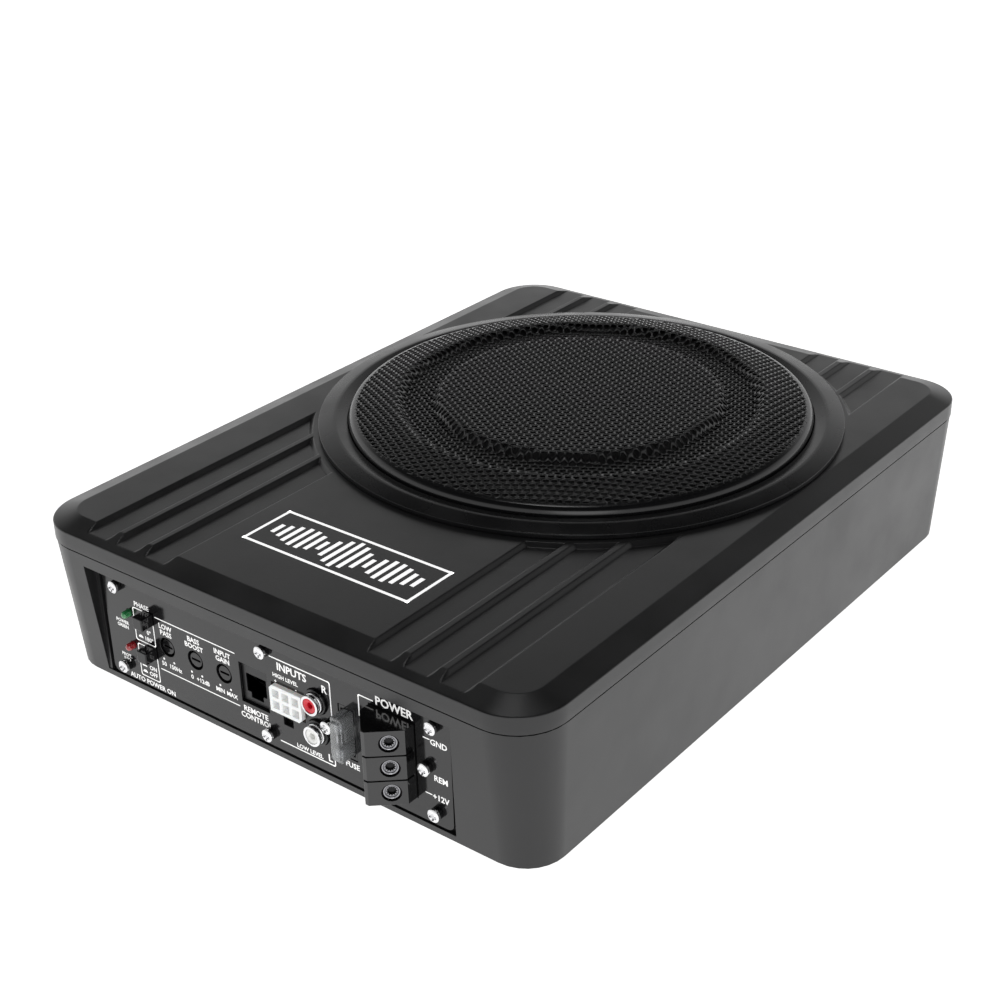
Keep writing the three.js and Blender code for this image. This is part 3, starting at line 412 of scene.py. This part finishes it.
def lid_flank(side, along):
    """The lid outside its straight part: a section carried round the front corner, along
    the flank through the given Y lines, and round the rear corner. Each point lies at a
    radius from the corner's centre or from the line that joins the two centres."""
    turn = np.radians(np.linspace(0, 90, 15))
    straight = np.zeros(len(along))
    angle = np.concatenate([turn - np.pi / 2, straight, turn])
    base = HALF_Y - CORNER
    centre_y = np.concatenate([np.full(15, -base), along, np.full(15, base)])
    inside = np.concatenate([[CORNER], EDGE_STEPS[::-1], RIM[::-1, 0]])
    radius = CORNER - inside
    x = (HALF_X - CORNER) + np.cos(angle)[:, None] * radius
    y = centre_y[:, None] + np.sin(angle)[:, None] * radius
    z = lid_height(x, y)
    z[:, -len(RIM):] = RIM[::-1, 1]
    grid = np.stack([side * x, y, z], axis=2)
    return grid.reshape(-1, 3), grid_faces(len(angle), len(radius), flip=side > 0)


def build_lid():
    """The lid's outer face from its two straight halves and two flanks, and its wall inwards."""
    x = lid_columns()
    front, rear = half_rows(x[-1:], -1)[0], half_rows(x[-1:], 1)[0]
    along = np.unique(np.round(np.concatenate([front, rear]), 6))
    base = HALF_Y - CORNER
    along = along[(along > -base + 0.01) & (along < base - 0.01)]
    points, faces = joined([lid_half(x, -1), lid_half(x, 1), lid_flank(-1, along), lid_flank(1, along)])
    lid = make_piece("lid_shell", place(points), faces, powder_coat,
                     stands_for=["lid"], turn_out=False, smooth_below=60, merge=5e-6)
    wall = lid.modifiers.new("wall", "SOLIDIFY")
    wall.thickness = LID_WALL * MM
    wall.offset = -1
    weighted = lid.modifiers.new("even_shading", "WEIGHTED_NORMAL")
    weighted.keep_sharp = True
    return lid


build_lid()
softened("base_case", powder_coat, edge=0.5, steps=3)
softened("control_panel", panel_paint, edge=0.12)
for k in range(1, 5):
    softened(f"foot_{k}", foot_rubber, edge=0.4)
    softened(f"case_screw_{k}", dark_steel, edge=0.2)


# ---------------------------------------------------------------- ring and grille
def build_ring():
    """The trim ring: its section turned round the woofer's axis."""
    top = LID_TOP
    section = soften([
        [101.5, top + 0.1], [RING_RADIUS, top + 0.1], [RING_RADIUS, top + 2.2],
        [107.8, top + 3.45], [106.6, top + 3.5], [101.5, top + 2.5],
    ], 0.35)
    points, faces = turned(section, (0, WOOFER_Y), 256)
    make_piece("trim_ring_finished", place(points), faces, ring_satin,
               stands_for=["trim_ring"], smooth_below=50)


# radius and height over the lid of the grille's face, from its middle to its rolled rim
GRILLE_SECTION = np.array([
    [0, 11.5], [60.4, 11.1], [61.8, 10.8], [63.4, 7.9], [64.6, 7.5], [75.6, 7.3], [77.0, 7.8],
    [78.8, 10.1], [80.6, 10.7], [82.6, 10.5], [97.4, 7.1], [99.4, 6.2], [100.6, 5.0], [101.1, 3.6],
])
LATTICE = 3.37
SHEET_EDGE = 99.6
SHEET = 1.0
HOLE_RINGS = ((1.66, 0.05), (1.42, 0.3), (1.42, SHEET))  # radius and depth of a hole's edges


def grille_height(radius):
    """Height of the grille's face over the lid: the section's straight runs, eased by
    averaging the height over a millimetre each way."""
    shifts = np.linspace(-0.8, 0.8, 7)
    weights = np.array([1, 3, 6, 8, 6, 3, 1]) / 28
    samples = np.abs(radius[..., None] + shifts)
    return np.interp(samples, GRILLE_SECTION[:, 0], GRILLE_SECTION[:, 1]) @ weights


def build_grille():
    """A sheet of six-sided cells on a triangular lattice. Each cell has a hole; round it
    the sheet dips from the cell's own corners to the hole's edge, goes down through the
    sheet and comes back along its underside. Corners shared by cells are one point."""
    reach = int(SHEET_EDGE / (LATTICE * 0.86)) + 2
    i, j = np.meshgrid(np.arange(-reach, reach + 1), np.arange(-reach, reach + 1), indexing="ij")
    cx = (i * LATTICE * math.sqrt(3) / 2).ravel()
    cy = ((j + 0.5 * (i % 2)) * LATTICE).ravel()
    keep = np.hypot(cx, cy) < SHEET_EDGE - 0.7
    cx, cy = cx[keep], cy[keep]
    turn = np.arange(6) * np.pi / 3
    cells = len(cx)

    def corners(radius):
        x = cx[:, None] + radius * np.cos(turn)
        y = cy[:, None] + radius * np.sin(turn)
        far = np.hypot(x, y)
        pull = np.minimum(1, SHEET_EDGE / far)
        return x * pull, y * pull

    def level(x, y, sink):
        z = LID_TOP + grille_height(np.hypot(x, y)) - sink
        return np.stack([x, y + WOOFER_Y, z], axis=-1)

    x, y = corners(LATTICE / math.sqrt(3))
    key = np.round(np.stack([x.ravel(), y.ravel()], axis=1), 2)
    shared, ids = np.unique(key, axis=0, return_inverse=True)
    ids = ids.reshape(cells, 6)
    ux, uy = shared[:, 0], shared[:, 1]
    top = level(ux, uy, 0 * ux)
    under = level(ux, uy, 0 * ux + SHEET)
    rings = [level(*corners(r), s) for r, s in HOLE_RINGS]
    points = np.concatenate([top, under] + [r.reshape(-1, 3) for r in rings])
    count = len(shared)
    local = np.arange(cells * 6).reshape(cells, 6)
    index = [ids] + [2 * count + k * cells * 6 + local for k in range(3)] + [ids + count]
    faces = []
    for outer, inner in zip(index[:-1], index[1:]):
        nxt_o, nxt_i = np.roll(outer, -1, axis=1), np.roll(inner, -1, axis=1)
        faces.append(np.stack([outer, nxt_o, nxt_i, inner], axis=-1).reshape(-1, 4))
    a, b = ids.ravel(), np.roll(ids, -1, axis=1).ravel()
    pairs = np.sort(np.stack([a, b], axis=1), axis=1)
    _, first, seen = np.unique(pairs, axis=0, return_index=True, return_counts=True)
    edge = first[seen == 1]
    faces.append(np.stack([b[edge], a[edge], a[edge] + count, b[edge] + count], axis=1))
    faces = np.concatenate(faces)
    faces = faces[(faces[:, 0] != faces[:, 1]) & (faces[:, 2] != faces[:, 3])]
    rim = soften([
        [97.4, LID_TOP + 6.3], [99.3, LID_TOP + 5.5], [100.3, LID_TOP + 4.4], [100.5, LID_TOP + 3.0],
        [100.5, LID_TOP + 0.2], [101.2, LID_TOP + 0.2], [101.2, LID_TOP + 3.6],
        [100.6, LID_TOP + 5.1], [99.5, LID_TOP + 6.2], [97.4, LID_TOP + 6.9],
    ], 0.5, 3)
    rim_points, rim_faces = turned(rim, (0, WOOFER_Y), 240)
    points, faces = joined([(points, faces), (rim_points, rim_faces)])
    make_piece("grille_mesh", place(points), faces, mesh_gloss,
               stands_for=["grille"], smooth_below=75, merge=1e-7)


build_ring()
build_grille()


# -------------------------------------------------------------- woofer and inside
INSIDE = {
    "woofer_basket": (dark_steel, "woofer_steel", "case"),
    "woofer_surround": (roll_rubber, "surround_rubber", "case"),
    "woofer_cone": (cone_pulp, "cone_black", "cone_assembly"),
    "dust_cap": (cone_pulp, "cone_black", "cone_assembly"),
    "voice_coil": (wound_copper, "copper_wire", "cone_assembly"),
    "woofer_spider": (spider_cloth, "spider_cloth", "case"),
    "top_plate": (dark_steel, "woofer_steel", "case"),
    "magnet": (ferrite_grey, "ferrite", "case"),
    "back_plate": (dark_steel, "woofer_steel", "case"),
    "amplifier_board": (board_mask, "board_green", "case"),
    "heatsink": (plain_alu, "heatsink_alu", "case"),
    "toroid": (wound_copper, "copper_wire", "case"),
    "main_capacitor": (sleeve_blue, "capacitor_sleeve", "case"),
}
for node, (finish, slot, body) in INSIDE.items():
    softened(node, finish, body, edge=0)


# ------------------------------------------------------------------ panel hardware
def node_centre(node):
    """The middle of a CAD node in X and Z, in millimetres."""
    low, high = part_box(node)
    return (low.x + high.x) / 2 / MM, (low.z + high.z) / 2 / MM


def node_front(node):
    """How far in front of the panel a CAD node reaches, in millimetres."""
    return PANEL_FACE - (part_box(node)[0].y - MIDDLE_Y) / MM


def cross_head(centre, tip, radius, depth, arm=0.42, reach=1.75, dome=0.55):
    """A pan head with a cross recess, facing -Y. Its face is a polar grid: the height falls
    off as the radius to the fourth power and drops by depth inside either arm of the
    cross, with the recess's sides eased over a short run."""
    sides, steps = 48, 13
    angle = np.arange(sides) * 2 * np.pi / sides
    share = np.linspace(0.03, 1, steps)
    r = share * radius
    u = np.cos(angle)[:, None] * r
    v = np.sin(angle)[:, None] * r
    narrow = np.minimum(np.abs(u), np.abs(v))
    length = np.maximum(np.abs(u), np.abs(v))
    in_arm = np.clip((arm + 0.18 - narrow) / 0.22, 0, 1) * np.clip((reach - length) / 0.4, 0, 1)
    y = tip + dome * share**4 + depth * in_arm
    face = np.stack([centre[0] + u, y, centre[1] + v], axis=2)
    back = tip + dome + 1.0
    wall = np.stack([centre[0] + u[:, -1:] * [1.0, 0.2], np.full((sides, 2), back),
                     centre[1] + v[:, -1:] * [1.0, 0.2]], axis=2)
    grid = np.concatenate([face, wall], axis=1)
    points = grid.reshape(-1, 3)
    faces = grid_faces(sides, steps + 2, wrap=True).tolist()
    columns = steps + 2
    faces.append([k * columns for k in range(sides)])
    faces.append([k * columns + columns - 1 for k in range(sides)][::-1])
    return points, faces


HEAD_RADIUS = 2.6
RECESS_DEPTH = 0.8
SLEEVE_RADIUS = 2.5


def build_panel_screw(node):
    """A bright cross head, and the black sleeve that it clamps against the panel."""
    centre = node_centre(node)
    tip = PANEL_FACE - node_front(node)
    points, faces = cross_head(centre, tip, HEAD_RADIUS, RECESS_DEPTH)
    make_piece(node + "_head", place(points), faces, bright_plating,
               stands_for=[node], smooth_below=40)
    low, foot = tip + 1.5, PANEL_FACE - 0.02
    sleeve = soften([
        [0.4, low], [SLEEVE_RADIUS - 0.02, low], [SLEEVE_RADIUS + 0.02, foot], [0.4, foot],
    ], 0.18, 3)
    points, faces = turned(sleeve, centre, 40, upright=False)
    make_piece(node + "_sleeve", place(points), faces, moulded_gloss)


for k in range(1, 8):
    build_panel_screw(f"panel_screw_{k}")
build_panel_screw("rca_screw")


LENS_RADIUS = 1.6


def build_lamp(node, finish):
    """A lens: a half ball on a straight stem with a flange behind the panel, turned about Y."""
    centre = node_centre(node)
    tip = PANEL_FACE - node_front(node)
    end = PANEL_FACE + 2.6
    turn = np.linspace(0.04, np.pi / 2, 12)
    dome = np.stack([np.sin(turn), 1 - np.cos(turn)], axis=1) * LENS_RADIUS + [0, tip]
    flange = [[LENS_RADIUS, PANEL_FACE + 1.9], [2.0, PANEL_FACE + 2.0], [2.0, end]]
    profile = np.vstack([[[0.05, end]], dome, flange])
    points, faces = turned(profile, centre, 40, upright=False)
    make_piece(node + "_lens", place(points), faces, finish, stands_for=[node])


build_lamp("phase_lamp_green", green_lens)
build_lamp("power_lamp_red", red_lens)

for name in ("phase", "auto_on"):
    softened(f"{name}_button", moulded_gloss, f"{name}_button_cap", edge=0.5, steps=3)
    softened(f"{name}_switch", moulded_satin, edge=0.2)
for name in ("low_pass", "bass_boost", "input_gain"):
    softened(f"{name}_shaft", moulded_gloss, f"{name}_knob", edge=0.12)
    softened(f"{name}_control", dark_steel, edge=0.2)
softened("remote_socket", moulded_satin, edge=0.15)
softened("high_level_socket", white_nylon_painted_glow, edge=0.25)
softened("rca_block", moulded_gloss, edge=0.3)
softened("fuse_holder", moulded_gloss, edge=0.2)
softened("terminal_block", block_body, edge=0.3, steps=3)


def build_jack(node, insulator):
    """A plated barrel with a groove behind its lip, and a coloured insulator inside it."""
    centre = node_centre(node)
    tip = PANEL_FACE - node_front(node)
    low = PANEL_FACE + 0.6
    barrel = soften([
        [3.1, tip + 0.2], [3.5, tip], [4.1, tip + 0.25], [4.15, tip + 1.6], [3.85, tip + 1.8],
        [3.85, tip + 2.2], [4.15, tip + 2.4], [4.15, low], [3.1, low],
    ], 0.12, 3)
    points, faces = turned(barrel, centre, 56, upright=False)
    make_piece(node + "_barrel", place(points), faces, bright_plating,
               stands_for=[node])
    core = soften([
        [1.3, tip + 4.0], [1.3, tip + 0.75], [2.2, tip + 0.35], [3.05, tip + 0.5], [3.05, low],
        [0.3, low], [0.3, tip + 4.0],
    ], 0.15, 3)
    points, faces = turned(core, centre, 48, upright=False)
    make_piece(node + "_insulator", place(points), faces, insulator)


build_jack("rca_jack_right", red_insulator)
build_jack("rca_jack_left", white_insulator)


RIBS = 12


def build_clamp_screw(way):
    """A screw deep in its hole: a turned rim with two raised rings round a socket whose wall
    is ribbed, on a stem, and a dark cup of painted shade that lines the socket. The profiles
    run along the clamp's own axis, and the socket's radius goes up and down RIBS times round the turn."""
    joint = next(j for j in frame["joints"] if j["name"] == f"clamp_screw_{way}_turn")
    axis = np.array(joint["axis"], float)
    start = np.array(joint["pos_m"], float)
    side = np.array([axis[1], -axis[0], 0])

    def along_axis(points):
        return start + (points @ np.array([side, axis, [0, 0, 1]])) * MM

    profile = soften([
        [0.1, 2.6], [1.75, 2.6], [1.75, 1.3], [2.05, 1.05], [2.3, 1.35], [2.55, 0.75],
        [2.95, 0.55], [3.2, 0.8], [3.2, 2.9], [1.7, 2.9], [1.7, 7.5], [0.1, 7.5],
    ], 0.12, 3)
    points, faces = turned(profile, (0, 0), 96, upright=False)
    angle = np.arctan2(points[:, 2], points[:, 0])
    radius = np.hypot(points[:, 0], points[:, 2])
    ribbed = (radius > 1.4) & (radius < 1.85) & (points[:, 1] < 2.7)
    swell = 1 + 0.14 * np.cos(RIBS * angle) * ribbed
    points[:, 0] *= swell
    points[:, 2] *= swell
    make_piece(f"terminal_screw_{way}_head", along_axis(points), faces, clamp_plating,
               f"clamp_screw_{way}", [f"terminal_screw_{way}"],
               smooth_below=40)
    # A dark cup of painted shade, laid inside the plated socket where its depth would be in shade.
    cup = [[0.1, 2.45], [1.55, 2.45], [1.55, 1.3], [1.68, 1.3], [1.68, 2.56], [0.1, 2.56]]
    points, faces = turned(soften(cup, 0.03, 2), (0, 0), 48, upright=False)
    make_piece(f"terminal_screw_{way}_socket", along_axis(points), faces, socket_painted_shade,
               f"clamp_screw_{way}", smooth_below=40)
    softened(f"terminal_cage_{way}", clamp_plating, f"clamp_cage_{way}",
             edge=0.1)


for way in (1, 2, 3):
    build_clamp_screw(way)


# ---------------------------------------------------------------------------- fuse
END_CURVE = 0.3


def rounded_bar(x0, x1, z0, z1, y0, y1, radius, steps=4):
    """A bar along Y with a rounded section between x0..x1 and z0..z1, its ends drawn in by
    a small curve: the section's outline repeated at eased insets."""
    outline = soften([[x0, z0], [x1, z0], [x1, z1], [x0, z1]], radius, steps)
    middle = np.array([(x0 + x1) / 2, (z0 + z1) / 2])
    half = np.array([(x1 - x0) / 2, (z1 - z0) / 2])
    ease = np.linspace(0, np.pi / 2, 4)
    drawn_in = END_CURVE * (1 - np.sin(ease))
    set_back = END_CURVE * (1 - np.cos(ease))
    inset = np.concatenate([[min(half)], drawn_in, drawn_in[::-1], [min(half)]])
    depth = np.concatenate([[y0], y0 + set_back, y1 - set_back[::-1], [y1]])
    scale = (half - inset[:, None]) / half
    xz = middle + (outline[None] - middle) * np.maximum(scale, 0.02)[:, None]
    y = np.broadcast_to(depth[:, None], xz.shape[:2])
    grid = np.stack([xz[..., 0], y, xz[..., 1]], axis=2).transpose(1, 0, 2)
    points = grid.reshape(-1, 3)
    rows, columns = grid.shape[0], grid.shape[1]
    faces = grid_faces(rows, columns, wrap=True).tolist()
    faces.append([k * columns for k in range(rows)])
    faces.append([k * columns + columns - 1 for k in range(rows)])
    return points, faces


BLADE_PITCH = 11.2
BLADE_WIDTH = 5.2
BLADE_LENGTH = 7.0


def build_fuse():
    """A clear shell of a thin core between two thicker ends, on two flat blades joined by a
    link that runs in an arch: its depth follows a sine and its height a cosine."""
    low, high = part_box("fuse")
    x0, x1 = low.x / MM, high.x / MM
    z0, z1 = low.z / MM, high.z / MM
    y0 = (low.y - MIDDLE_Y) / MM
    y2 = (high.y - MIDDLE_Y) / MM
    y1 = y2 - BLADE_LENGTH
    middle = (z0 + z1) / 2
    end = 6.2
    shell = [
        rounded_bar(x0 + 0.5, x1 - 0.5, z0 + 1.6, z1 - 1.6, y0, y1, 0.5),
        rounded_bar(x0, x1, z0, z0 + end, y0 + 1.0, y1 - 0.3, 0.9),
        rounded_bar(x0, x1, z1 - end, z1, y0 + 1.0, y1 - 0.3, 0.9),
    ]
    points, faces = joined(shell)
    make_piece("fuse_shell", place(points), faces, clear_shell, "fuse_link", ["fuse"])
    x = (x0 + x1) / 2
    legs = []
    for centre in (middle - BLADE_PITCH / 2, middle + BLADE_PITCH / 2):
        low_z, high_z = centre - BLADE_WIDTH / 2, centre + BLADE_WIDTH / 2
        legs.append(rounded_bar(x - 0.4, x + 0.4, low_z, high_z, y0 + 2.4, y2, 0.15))
    steps = 15
    turn = np.linspace(0, np.pi, steps)
    depth = (y0 + 3.2 + 2.4 * (1 - np.sin(turn)))[:, None]
    height = (middle - 4.5 * np.cos(turn))[:, None]
    half = np.array([[-0.3, -0.5], [0.3, -0.5], [0.3, 0.5], [-0.3, 0.5]])
    strip = (steps, len(half))
    grid = np.stack([
        np.broadcast_to(x + half[:, 0], strip), depth + half[:, 1], np.broadcast_to(height, strip),
    ], axis=2).transpose(1, 0, 2)
    ends = [[0, 15, 30, 45], [14, 29, 44, 59]]
    link = (grid.reshape(-1, 3), grid_faces(len(half), steps, wrap=True).tolist() + ends)
    points, faces = joined(legs + [link])
    make_piece("fuse_blades", place(points), faces, clamp_plating, "fuse_link")


build_fuse()


# --------------------------------------------------------------------------- print
def flat_bar(x0, z0, x1, z1, width):
    """A straight printed line from one point to another on the panel, as a thin bar."""
    a, b = np.array([x0, z0], float), np.array([x1, z1], float)
    along = (b - a) / np.linalg.norm(b - a)
    across = np.array([-along[1], along[0]]) * width / 2
    a, b = a - along * width / 2, b + along * width / 2
    return np.array([a - across, b - across, b + across, a + across])


def slab(outline, low, high):
    """A flat outline given thickness: [x, z] points between two depths."""
    n = len(outline)
    front = np.column_stack([outline[:, 0], np.full(n, low), outline[:, 1]])
    back = np.column_stack([outline[:, 0], np.full(n, high), outline[:, 1]])
    ring = [[k, (k + 1) % n, n + (k + 1) % n, n + k] for k in range(n)]
    return np.concatenate([front, back]), [list(range(n)), list(range(2 * n - 1, n - 1, -1))] + ring


CAPITAL_SHARE = 0.7  # height of a capital over the size of the letters
BOLD = 0.022


def lettering(text, x, z, height):
    """A word of the built-in sans letters as a mesh, its capitals height mm tall, standing
    on the panel: its own x and y become X and Z."""
    curve = bpy.data.curves.new("word", "FONT")
    curve.body = text
    curve.size = 1
    curve.offset = BOLD
    curve.extrude = 0.02
    curve.resolution_u = 2
    curve.align_x = "CENTER"
    word = bpy.data.objects.new("word", curve)
    bpy.context.scene.collection.objects.link(word)
    mesh = bpy.data.meshes.new_from_object(word)
    flat = np.zeros(len(mesh.vertices) * 3)
    mesh.vertices.foreach_get("co", flat)
    flat = flat.reshape(-1, 3)
    faces = [list(p.vertices) for p in mesh.polygons]
    bpy.data.objects.remove(word)
    size = height / CAPITAL_SHARE
    points = np.column_stack([
        x + flat[:, 0] * size, PRINT_Y - flat[:, 2], z - height / 2 + flat[:, 1] * size,
    ])
    return points, faces


PRINT_Y = PANEL_FACE - 0.01
INK = (PANEL_FACE - 0.035, PANEL_FACE - 0.003)
LINE = 0.45


def outline_strip(corners, width, radius):
    """A printed line along a polyline with rounded corners, as one run of short bars."""
    path = soften(corners, radius, 4, closed=False)
    return [slab(flat_bar(*path[k], *path[k + 1], width), *INK) for k in range(len(path) - 1)]


def build_panel_print():
    """Words, frames, scale dots and button signs on the panel. Each word has the X and Z of
    its middle, and the height of its capitals."""
    words = [
        ("PHASE", -71.2, 42.7, 2.1), ("0°", -68.6, 31.2, 1.9), ("180°", -69.0, 28.0, 1.9),
        ("ON", -68.8, 14.4, 1.9), ("OFF", -69.0, 11.5, 1.9), ("AUTO POWER ON", -70.2, 6.9, 2.2),
        ("POWER", -84.0, 31.4, 1.5), ("GREEN", -84.0, 29.3, 1.5),
        ("PROT.", -84.2, 15.4, 1.5), ("RED", -84.2, 13.4, 1.5),
        ("LOW", -58.4, 37.5, 2.2), ("PASS", -58.4, 34.6, 2.2),
        ("BASS", -42.6, 37.5, 2.2), ("BOOST", -42.6, 34.6, 2.2),
        ("INPUT", -26.8, 37.5, 2.2), ("GAIN", -26.8, 34.6, 2.2),
        ("50", -61.4, 19.9, 1.9), ("150Hz", -55.0, 19.9, 1.9),
        ("0", -45.4, 19.9, 1.9), ("+12dB", -39.4, 19.9, 1.9),
        ("MIN", -29.8, 19.9, 1.9), ("MAX", -23.4, 19.9, 1.9),
        ("REMOTE", -11.0, 16.9, 2.4), ("CONTROL", -11.0, 13.7, 2.4),
        ("INPUTS", 10.2, 43.4, 3.2), ("HIGH LEVEL", 6.6, 38.9, 1.7), ("R", 26.4, 42.2, 3.1),
        ("L", 27.0, 12.2, 3.1), ("LOW LEVEL", 16.6, 11.1, 1.8), ("FUSE", 38.2, 13.7, 2.3),
        ("POWER", 60.1, 47.9, 3.5), ("GND", 80.2, 40.6, 2.4), ("REM", 80.6, 25.6, 2.4),
        ("+12V", 80.2, 17.4, 2.4),
        ("+", 1.4, 36.2, 1.6), ("-", 11.8, 36.4, 1.8),
    ]
    parts = [lettering(*word) for word in words]
    for x, low, high, start in ((-76.5, 25.8, 40.6, 33.4), (-76.2, 9.2, 24.0, 16.6)):
        box = [[x, start], [x, high], [-65.4, high], [-65.4, low], [x, low], [x, start]]
        parts += outline_strip(box, LINE, 1.0)
    parts += outline_strip([[-0.6, 46.4], [29.4, 46.4], [29.4, 9.4], [1.5, 9.4]], 0.5, 0.9)
    parts += outline_strip([[50.2, 46.9], [43.4, 46.9], [43.4, 38.0]], 0.5, 0.7)
    for x0, x1, z in ((-63.6, -19.8, 40.3), (-63.6, -19.8, 16.6), (73.4, 76.0, 41.2),
                      (73.4, 76.0, 17.6)):
        parts.append(slab(flat_bar(x0, z, x1, z, LINE), *INK))
    turn = np.arange(14) * 2 * np.pi / 14
    dot_radius, dot_row = 0.5, 22.2
    for x in (-61.2, -55.4, -45.4, -39.6, -29.6, -23.8):
        dot = np.column_stack([x + dot_radius * np.cos(turn), dot_row + dot_radius * np.sin(turn)])
        parts.append(slab(dot, *INK))
    button_sign = np.array([
        [-1.3, -0.5], [1.3, -0.5], [1.3, 0], [0.5, 0.7], [-0.5, 0.7], [-1.3, 0],
    ])
    for place_of_sign in ((-73.6, 31.2), (-73.6, 28.0), (-73.8, 14.4), (-73.8, 11.5)):
        parts.append(slab(button_sign + place_of_sign, *INK))
    points, faces = joined(parts)
    make_piece("panel_print", place(points), faces, white_ink_painted_glow,
               smooth_below=20, merge=1e-9)


def build_lid_mark():
    """The printed frame on the lid and, inside it, plain upright bars whose lengths follow a
    fading wave. They lie flat: the panel print's X and Z become X and Y."""
    centre, width, height, line = (1.4, -115.5), 84.1, 26.6, 1.3
    hx, hy = (width - line) / 2, (height - line) / 2
    box = [[-hx, -hy], [hx, -hy], [hx, hy], [-hx, hy], [-hx, -hy]]
    outlines = [flat_bar(*box[k], *box[k + 1], line) for k in range(4)]
    count = 19
    x = (np.arange(count) - (count - 1) / 2) * 3.95
    size = 2.2 + 6.6 * np.abs(np.cos(x * 0.135)) * (1.1 - np.abs(x) / 52)
    outlines += [flat_bar(a, -b, a, b, 1.9) for a, b in zip(x, size)]
    parts = [slab(o, LID_TOP + 0.005, LID_TOP + 0.05) for o in outlines]
    points, faces = joined(parts)
    points = np.column_stack([points[:, 0] + centre[0], points[:, 2] + centre[1], points[:, 1]])
    make_piece("lid_mark", place(points), faces, lid_ink_painted_glow, smooth_below=20, merge=1e-9)


build_panel_print()
build_lid_mark()


# --------------------------------------------------------------------------- stage
def build_floor():
    reach = 6.0
    mesh = bpy.data.meshes.new("floor")
    edges = [(-reach, -reach, 0), (reach, -reach, 0), (reach, reach, 0), (-reach, reach, 0)]
    mesh.from_pydata(edges, [], [(0, 1, 2, 3)])
    paper = bpy.data.materials.new("floor_paper")
    paper.use_nodes = True
    shader = paper.node_tree.nodes["Principled BSDF"]
    shader.inputs["Base Color"].default_value = (0.9, 0.9, 0.9, 1)
    shader.inputs["Roughness"].default_value = 0.9
    shader.inputs["Specular IOR Level"].default_value = 0.1
    shader.inputs["Emission Color"].default_value = (1, 1, 1, 1)
    shader.inputs["Emission Strength"].default_value = 0.95
    mesh.materials.append(paper)
    floor = bpy.data.objects.new("floor", mesh)
    bpy.context.scene.collection.objects.link(floor)


def build_room():
    """A pale room light up to about thirty degrees over the horizon, and dark overhead: a
    ramp on the sine of the elevation."""
    world = bpy.data.worlds.new("room")
    bpy.context.scene.world = world
    world.use_nodes = True
    tree = world.node_tree
    sky = tree.nodes["Background"]
    where = tree.nodes.new("ShaderNodeTexCoord")
    split = tree.nodes.new("ShaderNodeSeparateXYZ")
    ramp = tree.nodes.new("ShaderNodeValToRGB")
    tree.links.new(where.outputs["Generated"], split.inputs["Vector"])
    tree.links.new(split.outputs["Z"], ramp.inputs["Fac"])
    tree.links.new(ramp.outputs["Color"], sky.inputs["Color"])
    stops = [(0.0, 1.0), (0.34, 0.9), (0.47, 0.62), (0.53, 0.3), (0.59, 0.05), (1.0, 0.01)]
    ramp.color_ramp.elements[0].position = stops[0][0]
    ramp.color_ramp.elements[1].position = stops[-1][0]
    for position, _ in stops[1:-1]:
        ramp.color_ramp.elements.new(position)
    for element, (_, value) in zip(ramp.color_ramp.elements, stops):
        element.color = (value, value, value, 1)
    sky.inputs["Strength"].default_value = 1.0


def add_light(name, position, size, power, target=(0, 0, 0.04)):
    light = bpy.data.lights.new(name, "AREA")
    light.shape = "DISK"
    light.size = size
    light.energy = power
    lamp = bpy.data.objects.new(name, light)
    bpy.context.scene.collection.objects.link(lamp)
    lamp.location = position
    lamp.rotation_mode = "QUATERNION"
    lamp.rotation_quaternion = (Vector(target) - Vector(position)).to_track_quat("-Z", "Y")


build_floor()
build_room()
add_light("overhead", (-0.25, 0.15, 1.5), 0.4, 1.5)
add_light("front_fill", (1.0, -1.3, 0.7), 0.9, 3)
bpy.context.scene.view_settings.view_transform = "Standard"
